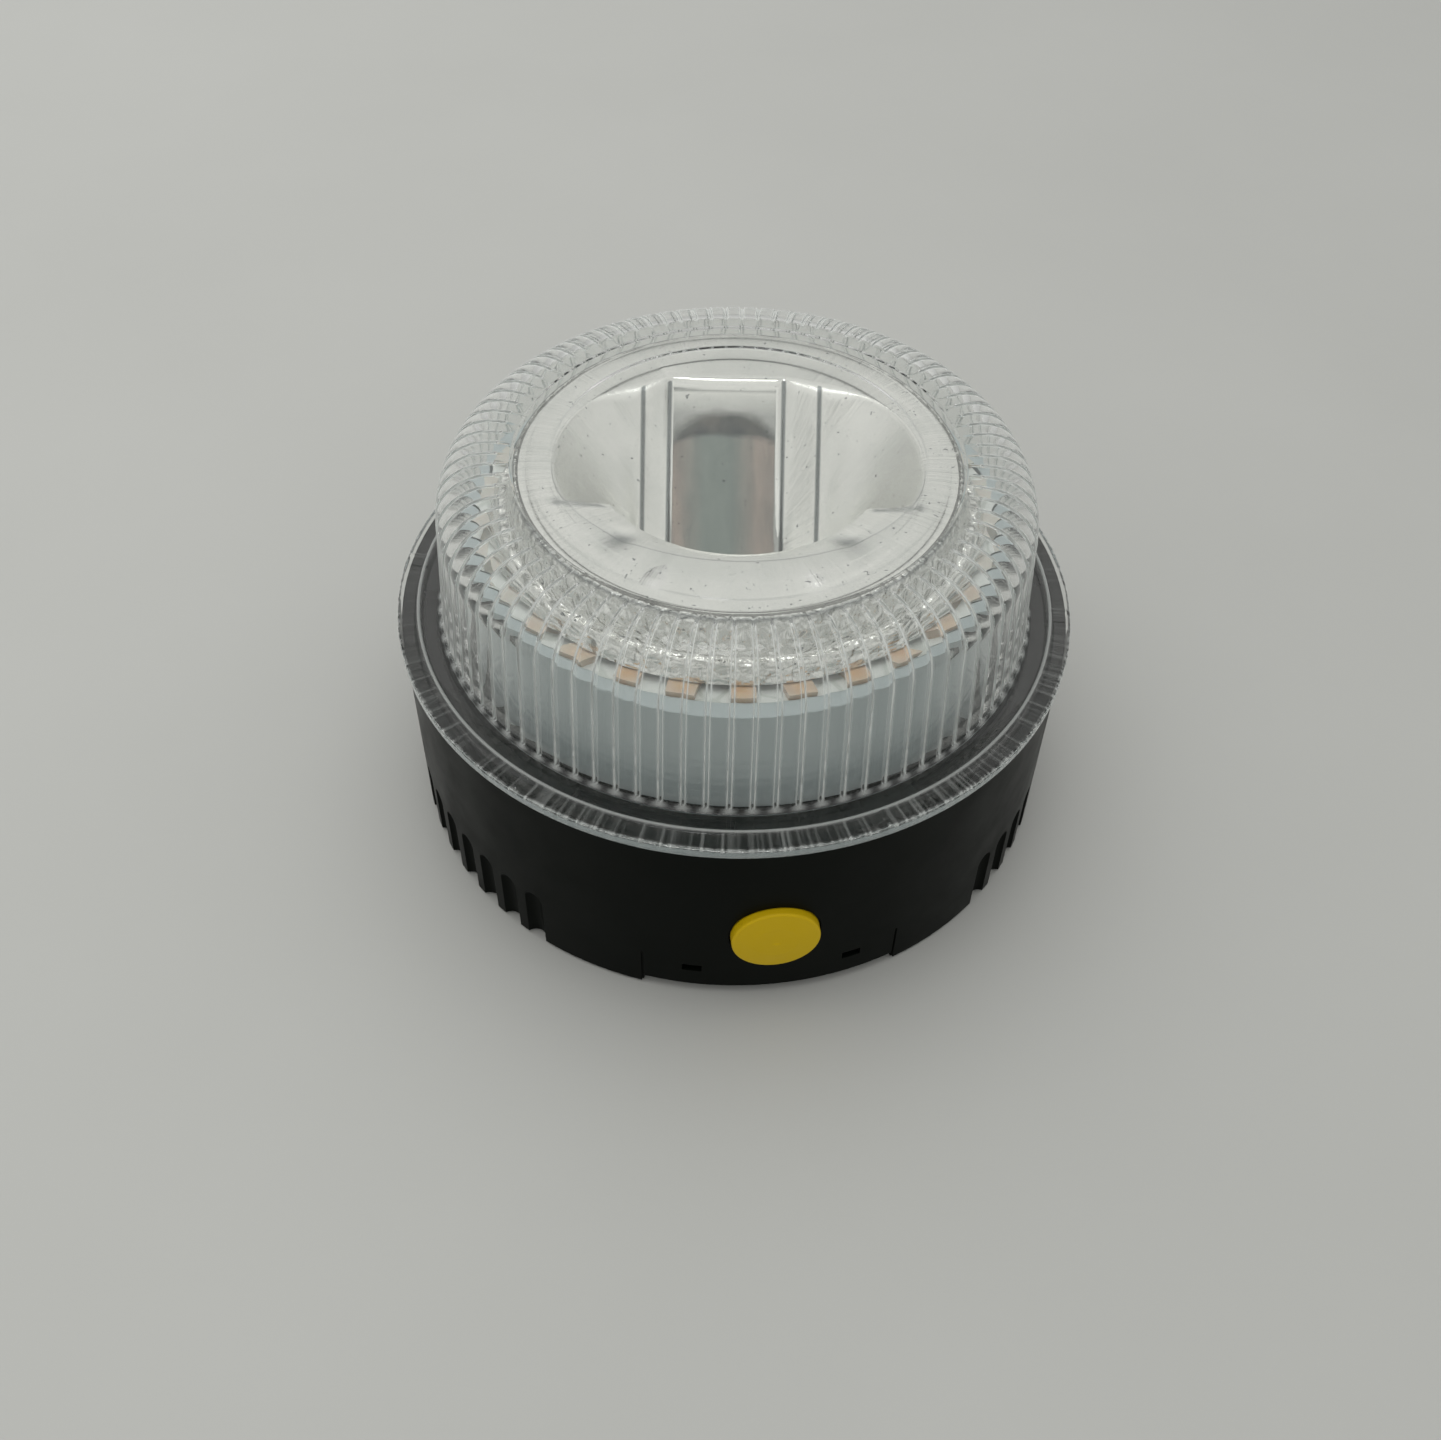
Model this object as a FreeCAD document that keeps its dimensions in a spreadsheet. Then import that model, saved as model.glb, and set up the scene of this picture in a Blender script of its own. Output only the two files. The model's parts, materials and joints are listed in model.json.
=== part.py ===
import FreeCAD, Part
import os
import re

import Sketcher

# A battery hazard beacon: a black base with a clear fluted dome. +Z is up, the push button faces -Y, and the
# origin is the centre of the rubber foot's underside, which rests on the ground. Sizes are in millimetres,
# angles in degrees. Heights are measured from the ground. Every "_gap" is a clearance between two pieces.
DIMENSIONS = {
    # base housing
    "foot_gap": 0.5,
    "flange_height": 32.4,
    "base_bottom_radius": 49.9,
    "base_top_radius": 49.4,
    "inner_radius": 47.4,
    "rim_inner_radius": 43.4,
    "deck_top": 30.4,
    "deck_thick": 2.0,
    "channel_inner_radius": 40.8,
    "channel_depth": 1.0,
    "ledge_bottom": 4.7,
    "ledge_thick": 1.3,
    "ledge_inner_radius": 38.0,
    "hinge_relief_long": 36.4,
    "hinge_relief_wide": 6.6,
    "hook_relief_long": 6.0,
    "hook_relief_wide": 4.0,
    "pocket_inner_radius": 44.3,
    "pocket_outer_radius": 46.5,
    "pocket_depth": 1.8,
    "pocket_start_angle": 25.0,
    "pocket_sweep": 28.0,
    "notch_height": 1.4,
    "notch_half_angle": 21.5,
    "seam_width": 0.4,
    "seam_depth": 0.3,
    "seam_length": 7.0,
    "window_angle": 13.3,
    "window_wide": 2.8,
    "window_tall": 1.4,
    "window_height": 5.9,
    "grip_first_angle": 41.8,
    "grip_count": 18,
    "grip_cutter_radius": 1.7,
    "grip_depth": 1.2,
    "grip_top": 11.2,
    # dome
    "flange_radius": 50.0,
    "flange_thick": 1.7,
    "flange_edge_round": 0.35,
    "bead_radius": 46.9,
    "bead_height": 0.3,
    "bead_width": 0.5,
    "rib_count": 6,
    "rib_angle": 16.9,
    "rib_width": 0.35,
    "rib_height": 0.2,
    "rib_inner_radius": 47.2,
    "rib_outer_radius": 49.55,
    "dome_foot_radius": 43.5,
    "dome_top_radius": 42.3,
    "dome_top": 58.2,
    "dome_wall": 2.2,
    "shoulder_round": 7.8,
    "spigot_outer_radius": 43.2,
    "ring_outer_radius": 31.2,
    "ring_inner_radius": 29.1,
    "ring_depth": 0.2,
    "window_radius": 26.0,
    "flute_count": 90,
    "flute_width": 0.5,
    "flute_depth": 0.3,
    "flute_inner_radius": 33.6,
    "gasket_thick": 1.2,
    # lamp head
    "drum_radius": 39.0,
    "drum_draft": 0.5,
    "drum_wall": 1.8,
    "drum_top": 47.7,
    "drum_hole_radius": 28.0,
    "seat_radius": 37.0,
    "seat_depth": 1.5,
    "ring_board_thick": 1.2,
    "lamp_count": 30,
    "lamp_circle_radius": 35.3,
    "lamp_long": 3.5,
    "lamp_wide": 2.8,
    "lamp_tall": 1.0,
    "reflector_top": 55.9,
    "reflector_wall": 1.4,
    "reflector_turn": -7.2,
    "skirt_radius": 34.8,
    "skirt_bottom": 48.7,
    "skirt_step_radius": 32.6,
    "skirt_step_height": 51.4,
    "land_radius": 31.4,
    "mouth_long": 25.7,
    "mouth_short": 19.5,
    "bowl_floor": 37.0,
    "bowl_floor_long": 16.0,
    "bowl_floor_short": 1.6,
    "post_circle_radius": 31.0,
    "post_radius": 1.8,
    "drum_boss_circle": 33.0,
    "drum_pilot_depth": 7.2,
    "post_pilot_depth": 3.6,
    "boss_radius": 2.8,
    # button and switch
    "button_height": 14.15,
    "button_radius": 6.2,
    "button_face": 51.0,
    "button_rim": 50.6,
    "button_rim_round": 0.35,
    "button_hole_gap": 0.25,
    "button_flange_radius": 7.3,
    "button_flange_front": 46.5,
    "button_flange_thick": 1.0,
    "button_flange_gap": 0.3,
    "button_stop_gap": 0.1,
    "button_bore_start": 43.0,
    "button_hole_length": 10.0,
    "collar_radius": 9.4,
    "collar_back": 44.2,
    "collar_front": 48.0,
    "stem_radius": 2.0,
    "stem_tip": 42.5,
    "oring_radius": 0.45,
    "oring_centre_radius": 5.95,
    "oring_place": 48.5,
    "switch_size": 7.0,
    "switch_thick": 3.4,
    "plunger_radius": 1.75,
    "plunger_length": 3.6,
    "running_gap": 0.08,
    # control board
    "board_front": 36.6,
    "board_thick": 1.6,
    "board_wide": 38.0,
    "board_bottom": 6.6,
    "board_top": 26.6,
    "board_boss_x": 15.0,
    "board_boss_height": 22.5,
    "board_boss_front": 45.5,
    "board_pilot_depth": 6.6,
    "wire_hole_x": 14.0,
    "wire_hole_y": 27.0,
    "wire_hole_radius": 3.0,
    "lead_radius": 0.65,
    "lead_gap": 0.05,
    "battery_lead_x": 17.0,
    "chip_long": 5.0,
    "chip_thick": 1.6,
    "chip_tall": 4.0,
    "inductor_side": 7.3,
    "inductor_thick": 3.4,
    "winding_radius": 2.6,
    "winding_depth": 0.4,
    "capacitor_radius": 3.15,
    "capacitor_length": 7.7,
    "resistor_long": 1.25,
    "resistor_thick": 0.5,
    "resistor_tall": 2.0,
    "resistor_pitch": 2.2,
    # battery and its tray
    "battery_long": 46.4,
    "battery_wide": 26.5,
    "battery_tall": 17.5,
    "battery_round": 1.5,
    "battery_bottom": 7.7,
    "battery_left": 26.0,
    "battery_y": 4.75,
    "battery_gap": 0.3,
    "terminal_pitch": 12.7,
    "terminal_length": 2.4,
    "terminal_stud_radius": 2.85,
    "terminal_ring_inner": 3.1,
    "terminal_ring_outer": 4.1,
    "contact_stud_radius": 2.95,
    "contact_ring_inner": 3.0,
    "contact_gap": 0.3,
    "snap_cap_thick": 3.0,
    "snap_cap_wide": 24.0,
    "snap_cap_tall": 12.0,
    "tray_wall": 1.5,
    "tray_bottom": 9.0,
    "tray_plate": 1.4,
    "tray_top": 26.8,
    "tray_right": 27.0,
    "tray_pilot_depth": 3.0,
    "ear_reach": 7.0,
    "ear_wide": 8.0,
    "ear_hole_reach": 3.9,
    # screws: small ones share one size
    "screw_shank_radius": 1.25,
    "screw_head_radius": 2.2,
    "screw_head_thick": 1.4,
    "screw_slot_width": 0.6,
    "thread_gap": 0.05,
    "drum_screw_length": 8.0,
    "post_screw_length": 4.8,
    "tray_screw_length": 4.2,
    "board_screw_length": 7.6,
    # bottom lid
    "lid_radius": 46.8,
    "lid_bottom": 1.6,
    "lid_thick": 2.0,
    "lid_rear_y": 40.3,
    "magnet_radius": 15.0,
    "magnet_thick": 3.0,
    "magnet_gap": 0.1,
    "lid_boss_radius": 17.0,
    "lid_boss_top": 5.9,
    "foot_radius": 20.0,
    "foot_chamfer": 0.8,
    "lid_screw_y": 26.0,
    "lid_screw_boss_radius": 5.0,
    "lid_screw_head_radius": 3.2,
    "lid_screw_shank_radius": 1.5,
    "lid_screw_tip": 9.2,
    "retainer_reach": 1.3,
    "retainer_thick": 0.4,
    "retainer_drop": 0.7,
    "column_radius": 3.6,
    "column_bottom": 5.4,
    "insert_radius": 2.2,
    "insert_bore_radius": 1.85,
    "insert_length": 5.0,
    "hinge_y": 43.5,
    "hinge_height": 2.0,
    "trunnion_radius": 0.9,
    "trunnion_reach": 11.8,
    "lug_inner": 9.0,
    "lug_outer": 12.0,
    "lug_front": 42.2,
    "lug_back": 47.9,
    "lug_top": 6.0,
    "lug_gap": 0.4,
    "hook_inner_radius": 45.6,
    "hook_outer_radius": 47.0,
    "hook_wide": 4.0,
    "hook_top": 6.6,
    "seal_inner_radius": 38.8,
    "seal_outer_radius": 40.8,
    "pad_long": 24.0,
    "pad_wide": 18.0,
}

FRONT = 270
RIGHT, BACK, UP = FreeCAD.Vector(1, 0, 0), FreeCAD.Vector(0, 1, 0), FreeCAD.Vector(0, 0, 1)
FORWARD = -BACK

doc = FreeCAD.newDocument("road_flare")
sheet = doc.addObject("Spreadsheet::Sheet", "Dims")
for row, (name, size) in enumerate(DIMENSIONS.items(), start=1):
    sheet.set(f"A{row}", name)
    sheet.set(f"B{row}", str(size))
    sheet.setAlias(f"B{row}", name)
doc.recompute()


# ---- expressions and placements ----


def bound(expression):
    """The expression with each dimension's name pointed at its cell in the sheet."""
    return re.sub(
        r"[a-z][a-z_]*",
        lambda word: "Dims." + word.group() if word.group() in DIMENSIONS else word.group(),
        expression,
    )


def number(expression):
    """What the expression comes to now, used only where a starting value is needed."""
    return float(sheet.evalExpression(bound(expression)))


def bind(feature, property_name, expression):
    feature.setExpression(property_name, bound(expression))


def place(feature, base, rotation=None):
    """Turn a feature and keep its base point bound to three expressions."""
    feature.Placement = FreeCAD.Placement(FreeCAD.Vector(), rotation or FreeCAD.Rotation())
    for letter, expression in zip("xyz", base):
        bind(feature, f".Placement.Base.{letter}", expression)
    return feature


def polar(radius, angle):
    """The x and y expressions of a point at a radius and an angle from +X."""
    return f"({radius}) * cos({angle})", f"({radius}) * sin({angle})"


# ---- primitives and booleans ----


def cylinder(name, radius, length, base, axis=UP, sweep=360, turn=0):
    """A cylinder, or a wedge of one, that starts at base and runs along axis."""
    solid = doc.addObject("Part::Cylinder", name)
    bind(solid, "Radius", radius)
    bind(solid, "Height", length)
    bind(solid, "Angle", str(sweep))
    return place(solid, base, FreeCAD.Rotation(UP, turn) * FreeCAD.Rotation(UP, axis))


def sphere(name, radius, centre):
    ball = doc.addObject("Part::Sphere", name)
    bind(ball, "Radius", radius)
    return place(ball, centre)


def box(name, sides, centre, turn=0):
    """A block standing on centre, the middle of its underside, turned about the vertical."""
    solid = doc.addObject("Part::Box", name)
    for property_name, side in zip(("Length", "Width", "Height"), sides):
        bind(solid, property_name, side)
    half_long, half_wide = f"({sides[0]}) / 2", f"({sides[1]}) / 2"
    base = (
        f"({centre[0]}) - {half_long} * cos({turn}) + {half_wide} * sin({turn})",
        f"({centre[1]}) - {half_long} * sin({turn}) - {half_wide} * cos({turn})",
        centre[2],
    )
    return place(solid, base, FreeCAD.Rotation(UP, turn))


def fused(name, parts):
    union = doc.addObject("Part::MultiFuse", name)
    union.Shapes = parts
    return union


def cut(name, base, tools):
    """The base with one or more tools taken away."""
    difference = doc.addObject("Part::Cut", name)
    difference.Base = base
    difference.Tool = tools[0] if len(tools) == 1 else fused(name + "_tools", tools)
    return difference


def common(name, base, tool):
    overlap = doc.addObject("Part::Common", name)
    overlap.Base = base
    overlap.Tool = tool
    return overlap


def group(name, parts):
    """Separate solids that share one node."""
    compound = doc.addObject("Part::Compound", name)
    compound.Links = parts
    return compound


def ring(name, inner, outer, bottom, thick):
    """A flat ring about the vertical axis."""
    disc = cylinder(name + "_disc", outer, thick, ("0", "0", bottom))
    bore = cylinder(name + "_bore", inner, thick, ("0", "0", bottom))
    return cut(name, disc, [bore])


# ---- sketched bodies ----


def new_body(name):
    return doc.addObject("PartDesign::Body", name)


def sketch_on(body, plane_role, name):
    sketch = body.newObject("Sketcher::SketchObject", name)
    plane = next(feature for feature in body.Origin.OriginFeatures if feature.Role == plane_role)
    sketch.AttachmentSupport = [(plane, "")]
    sketch.MapMode = "FlatFace"
    return sketch


def pin_corner(sketch, edge, direction, expression):
    """Hold one coordinate of an edge's start point at an expression, or on an axis where it is 0."""
    if expression == "0":
        axis = -2 if direction == "DistanceX" else -1
        sketch.addConstraint(Sketcher.Constraint("PointOnObject", edge, 1, axis))
        return
    index = sketch.addConstraint(Sketcher.Constraint(direction, edge, 1, number(expression)))
    sketch.setExpression(f"Constraints[{index}]", bound(expression))


def draw_outline(sketch, corners):
    """A closed outline of straight edges with every corner bound to the sheet."""
    points = [FreeCAD.Vector(number(x), number(y), 0) for x, y in corners]
    count = len(points)
    for i in range(count):
        sketch.addGeometry(Part.LineSegment(points[i], points[(i + 1) % count]), False)
    for i in range(count):
        sketch.addConstraint(Sketcher.Constraint("Coincident", i, 2, (i + 1) % count, 1))
    for i, (x, y) in enumerate(corners):
        pin_corner(sketch, i, "DistanceX", x)
        pin_corner(sketch, i, "DistanceY", y)


def revolved(name, corners):
    """A body turned from an outline of radius and height about the vertical axis."""
    body = new_body(name)
    sketch = sketch_on(body, "XZ_Plane", name + "_outline")
    draw_outline(sketch, corners)
    turned = body.newObject("PartDesign::Revolution", name + "_turned")
    turned.Profile = sketch
    turned.ReferenceAxis = (sketch, ["V_Axis"])
    turned.Angle = 360
    doc.recompute()
    return body


def round_circles(body, name, radius, circles):
    """Fillet the circular edges of a turned body that lie at the given radius and height."""
    wanted = [(number(r), number(z)) for r, z in circles]
    edges = []
    base = body.Tip
    for index, edge in enumerate(base.Shape.Edges, start=1):
        if not isinstance(edge.Curve, Part.Circle):
            continue
        here = (edge.Curve.Radius, edge.Curve.Center.z)
        if any(abs(here[0] - r) < 0.01 and abs(here[1] - z) < 0.01 for r, z in wanted):
            edges.append(f"Edge{index}")
    fillet = body.newObject("PartDesign::Fillet", name)
    fillet.Base = (base, edges)
    bind(fillet, "Radius", radius)
    body.Tip = fillet
    doc.recompute()


def facing_front(body):
    """Turn a body made about the vertical axis so that its axis runs forward through the button."""
    return place(body, ("0", "0", "button_height"), FreeCAD.Rotation(UP, FORWARD))


# ---- screws ----


def screw(name, base, axis, length):
    """A slotted screw whose head sits behind base and whose shank runs along axis."""
    head_base = tuple(
        f"({place_on_axis}) - screw_head_thick * {step:g}" for place_on_axis, step in zip(base, axis)
    )
    head = cylinder(name + "_head", "screw_head_radius", "screw_head_thick", head_base, axis)
    shank = cylinder(name + "_shank", "screw_shank_radius", length, base, axis)
    whole = fused(name + "_blank", [head, shank])
    slot = doc.addObject("Part::Box", name + "_slot")
    bind(slot, "Length", "screw_head_radius * 3")
    bind(slot, "Width", "screw_slot_width")
    bind(slot, "Height", "screw_head_thick / 2")
    side = axis.cross(RIGHT)
    slot_base = tuple(
        f"{head_expression} - screw_head_radius * 1.5 * {a:g} - screw_slot_width / 2 * {b:g}"
        for head_expression, a, b in zip(head_base, RIGHT, side)
    )
    place(slot, slot_base, FreeCAD.Rotation(RIGHT, side, axis, "ZXY"))
    return cut(name, whole, [slot])


def screw_hole(name, base, axis, length):
    return cylinder(name, "screw_shank_radius + thread_gap", length, base, axis)


# ---- base housing ----


def grip_cutters():
    """Upright round-ended flutes that scallop both sides of the housing and run out at its bottom edge."""
    cutters = []
    count = int(number("grip_count"))
    axis_radius = "base_bottom_radius + grip_cutter_radius - grip_depth"
    crown = "(grip_top - sqrt(2 * grip_cutter_radius * grip_depth - grip_depth * grip_depth))"
    for side in (-1, 1):
        for i in range(count):
            step = f"(180 - 2 * grip_first_angle) / (grip_count - 1) * {i}"
            x, y = polar(axis_radius, f"{FRONT} + {side} * (grip_first_angle + {step})")
            name = f"grip_{'left' if side < 0 else 'right'}_{i}"
            cutters.append(cylinder(name, "grip_cutter_radius", f"{crown} - foot_gap + 1",
                                    (x, y, "foot_gap - 1")))
            cutters.append(sphere(name + "_end", "grip_cutter_radius", (x, y, crown)))
    return cutters


def rim_pockets():
    """Six arc pockets in the rim's top face, seen through the clear flange."""
    wedges = []
    bottom = "flange_height - pocket_depth"
    for i in range(6):
        turn = number(f"{FRONT} + pocket_start_angle + {60 * i}")
        wedges.append(
            cylinder(f"pocket_wedge_{i}", "pocket_outer_radius", "pocket_depth", ("0", "0", bottom),
                     sweep="pocket_sweep", turn=turn)
        )
    core = cylinder("pocket_core", "pocket_inner_radius", "pocket_depth", ("0", "0", bottom))
    return cut("rim_pockets", fused("pocket_wedges", wedges), [core])


def snap_windows():
    """Two small slots near the bottom edge, one each side of the button."""
    windows = []
    for side in (-1, 1):
        angle = f"{FRONT} + {side} * window_angle"
        x, y = polar("base_bottom_radius", angle)
        centre = (x, y, "window_height - window_tall / 2")
        turn = number(angle) + 90
        windows.append(box(f"window_{side + 1}", ("window_wide", "8", "window_tall"), centre, turn))
    return windows


def witness_seams():
    """Thin upright lines that end at the corners of the pry notch."""
    seams = []
    for side in (-1, 1):
        angle = f"{FRONT} + {side} * notch_half_angle"
        x, y = polar("base_bottom_radius", angle)
        size = ("seam_width", "seam_depth * 2", "seam_length + foot_gap")
        seams.append(box(f"seam_{side + 1}", size, (x, y, "foot_gap"), number(angle) + 90))
    return seams


def ledge_reliefs():
    """Room in the lid's ledge for the hinge at the back and the two hooks at the front."""
    bottom, tall = "ledge_bottom - 0.1", "ledge_thick + 0.2"
    rear = box("relief_rear", ("hinge_relief_long", "hinge_relief_wide", tall),
               ("0", "lug_front + 2", bottom))
    parts = [rear]
    for side in (-1, 1):
        angle = f"{FRONT} + {side} * window_angle"
        x, y = polar("hook_inner_radius", angle)
        sides = ("hook_relief_long", "hook_relief_wide", tall)
        parts.append(box(f"relief_hook_{side + 1}", sides, (x, y, bottom), number(angle) + 90))
    limit = cylinder("relief_limit", "inner_radius", tall, ("0", "0", bottom))
    return common("ledge_reliefs", fused("reliefs", parts), limit)


def button_openings():
    """The button's hole through the wall and the wider bore behind it for the button's flange."""
    start = ("0", "-button_bore_start", "button_height")
    hole = cylinder("button_hole", "button_radius + button_hole_gap", "button_hole_length", start, FORWARD)
    bore = cylinder("button_bore", "button_flange_radius + button_flange_gap",
                    "button_flange_front + button_stop_gap - button_bore_start", start, FORWARD)
    return [hole, bore]


def drum_screw_places():
    return [polar("drum_boss_circle", f"{FRONT} + {turn}") for turn in (0, 120, 240)]


def post_places():
    return [polar("post_circle_radius", f"90 + {turn}") for turn in (0, 120, 240)]


def tray_screw_places():
    reach = "battery_wide / 2 + battery_gap + tray_wall + ear_hole_reach"
    return [("0", f"battery_y {sign} ({reach})") for sign in ("+", "-")]


def board_screw_places():
    return [(f"{side} * board_boss_x", "board_boss_height") for side in (-1, 1)]


def make_base_housing():
    """Black moulded cup: outer wall, deck, rim, lid ledge, bosses, hinge lugs and the lid screw's column."""
    channel_floor = "deck_top - channel_depth"
    underside = "deck_top - deck_thick"
    ledge_top = "ledge_bottom + ledge_thick"
    shell = revolved("housing_shell", [
        ("base_bottom_radius", "foot_gap"),
        ("base_top_radius", "flange_height"),
        ("rim_inner_radius", "flange_height"),
        ("rim_inner_radius", channel_floor),
        ("channel_inner_radius", channel_floor),
        ("channel_inner_radius", "deck_top"),
        ("0", "deck_top"),
        ("0", underside),
        ("inner_radius", underside),
        ("inner_radius", ledge_top),
        ("ledge_inner_radius", ledge_top),
        ("ledge_inner_radius", "ledge_bottom"),
        ("inner_radius", "ledge_bottom"),
        ("inner_radius", "foot_gap"),
    ])
    additions = [
        shell,
        cylinder("lid_column", "column_radius", f"{underside} + 0.5 - column_bottom",
                 ("0", "-lid_screw_y", "column_bottom")),
        cylinder("button_collar", "collar_radius", "collar_front - collar_back",
                 ("0", "-collar_back", "button_height"), FORWARD),
    ]
    for i, (x, z) in enumerate(board_screw_places()):
        additions.append(cylinder(f"board_boss_{i}", "boss_radius", "board_boss_front - board_front",
                                  (x, "-board_front", z), FORWARD))
    for i, (x, y) in enumerate(tray_screw_places()):
        additions.append(cylinder(f"tray_boss_{i}", "boss_radius", f"{underside} + 0.5 - tray_top",
                                  (x, y, "tray_top")))
    for side in (-1, 1):
        additions.append(box(f"hinge_lug_{side + 1}",
                             ("lug_outer - lug_inner", "lug_back - lug_front", "lug_top - foot_gap"),
                             (f"{side} * (lug_inner + lug_outer) / 2", "(lug_front + lug_back) / 2",
                              "foot_gap")))
    tools = grip_cutters() + snap_windows() + witness_seams() + button_openings()
    tools += [rim_pockets(), ledge_reliefs()]
    tools.append(cylinder("pry_notch", "base_bottom_radius + 1", "notch_height", ("0", "0", "foot_gap"),
                          sweep="2 * notch_half_angle", turn=FRONT - number("notch_half_angle")))
    tools.append(cylinder("hinge_bore", "trunnion_radius + running_gap", "2 * lug_outer + 0.4",
                          ("-lug_outer - 0.2", "hinge_y", "hinge_height"), RIGHT))
    tools.append(cylinder("insert_hole", "insert_radius + 0.02", "insert_length + 0.1",
                          ("0", "-lid_screw_y", "column_bottom")))
    tools.append(cylinder("deck_wire_hole", "wire_hole_radius", "deck_thick + 2",
                          ("wire_hole_x", "-wire_hole_y", f"{underside} - 1")))
    for i, (x, y) in enumerate(drum_screw_places()):
        tools.append(screw_hole(f"deck_hole_{i}", (x, y, f"{underside} - 0.5"), UP, "deck_thick + 1"))
    for i, (x, y) in enumerate(tray_screw_places()):
        tools.append(screw_hole(f"tray_pilot_{i}", (x, y, "tray_top - 0.1"), UP, "tray_pilot_depth"))
    for i, (x, z) in enumerate(board_screw_places()):
        tools.append(screw_hole(f"board_pilot_{i}", (x, "-board_front + 0.1", z), FORWARD,
                                "board_pilot_depth"))
    return cut("base_housing", fused("housing_solid", additions), tools)


# ---- dome ----


def repeat_about_axis(body, feature, name, count):
    """Pattern a body's newest feature evenly about the vertical axis."""
    pattern = body.newObject("PartDesign::PolarPattern", name)
    pattern.Originals = [feature]
    z_axis = next(plane for plane in body.Origin.OriginFeatures if plane.Role == "Z_Axis")
    pattern.Axis = (z_axis, [""])
    pattern.Angle = 360
    bind(pattern, "Occurrences", count)
    body.Tip = pattern
    doc.recompute()


def add_flange_ribs(body):
    """Low radial ribs that cross the flange outside its bead."""
    sketch = sketch_on(body, "XY_Plane", "rib_outline")
    draw_outline(sketch, [
        ("rib_inner_radius", "-rib_width / 2"),
        ("rib_outer_radius", "-rib_width / 2"),
        ("rib_outer_radius", "rib_width / 2"),
        ("rib_inner_radius", "rib_width / 2"),
    ])
    turn = FreeCAD.Rotation(UP, FRONT + number("rib_angle"))
    sketch.AttachmentOffset = FreeCAD.Placement(FreeCAD.Vector(), turn)
    bind(sketch, ".AttachmentOffset.Base.z", "flange_height + flange_thick")
    rib = body.newObject("PartDesign::Pad", "rib_pad")
    rib.Profile = sketch
    bind(rib, "Length", "rib_height")
    doc.recompute()
    repeat_about_axis(body, rib, "rib_ring", "rib_count")


def add_flutes(body):
    """Narrow slots that part the dome's side into flat flutes, from the window's rim down to its foot."""
    profile = "dome_top_radius - flute_depth"
    shoulder_centre = "dome_top_radius - shoulder_round"
    diagonal = "(shoulder_round - flute_depth) * cos(45)"
    foot = "flange_height + flange_thick + 0.6"
    sketch = sketch_on(body, "XZ_Plane", "flute_outline")
    draw_outline(sketch, [
        ("flute_inner_radius", "dome_top - flute_depth"),
        (shoulder_centre, "dome_top - flute_depth"),
        (f"{shoulder_centre} + {diagonal}", f"dome_top - shoulder_round + {diagonal}"),
        (profile, "dome_top - shoulder_round"),
        ("dome_foot_radius - flute_depth", foot),
        ("dome_foot_radius + 1", foot),
        ("dome_foot_radius + 1", "dome_top + 1"),
        ("flute_inner_radius", "dome_top + 1"),
    ])
    slot = body.newObject("PartDesign::Pocket", "flute_slot")
    slot.Profile = sketch
    slot.Type = "Length"
    slot.Midplane = True
    bind(slot, "Length", "flute_width")
    doc.recompute()
    repeat_about_axis(body, slot, "flute_ring", "flute_count")


def make_clear_dome():
    """Clear moulding: flat flange, near-upright side, round shoulder and a window framed by two rings."""
    flange_top = "flange_height + flange_thick"
    bead_top = f"{flange_top} + bead_height"
    inside = "dome_top - dome_wall"
    body = revolved("clear_dome", [
        ("flange_radius", "flange_height"),
        ("flange_radius", flange_top),
        ("bead_radius + bead_width / 2", flange_top),
        ("bead_radius + bead_width / 2", bead_top),
        ("bead_radius - bead_width / 2", bead_top),
        ("bead_radius - bead_width / 2", flange_top),
        ("dome_foot_radius", flange_top),
        ("dome_top_radius", "dome_top"),
        ("ring_outer_radius", "dome_top"),
        ("ring_outer_radius", "dome_top - ring_depth"),
        ("ring_inner_radius", "dome_top - ring_depth"),
        ("ring_inner_radius", "dome_top"),
        ("window_radius", "dome_top"),
        ("window_radius", "dome_top - ring_depth / 2"),
        ("0", "dome_top - ring_depth / 2"),
        ("0", inside),
        ("dome_top_radius - dome_wall", inside),
        ("dome_foot_radius - dome_wall", "deck_top - channel_depth + gasket_thick"),
        ("spigot_outer_radius", "deck_top - channel_depth + gasket_thick"),
        ("spigot_outer_radius", "flange_height"),
    ])
    round_circles(body, "shoulder_outside", "shoulder_round", [("dome_top_radius", "dome_top")])
    round_circles(body, "shoulder_inside", "shoulder_round - dome_wall",
                  [("dome_top_radius - dome_wall", inside)])
    round_circles(body, "flange_edge", "flange_edge_round", [("flange_radius", flange_top)])
    add_flange_ribs(body)
    add_flutes(body)
    return body


def make_dome_gasket():
    return ring("dome_gasket", "channel_inner_radius + 0.1", "rim_inner_radius - 0.1",
                "deck_top - channel_depth", "gasket_thick")


# ---- lamp head ----


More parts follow.
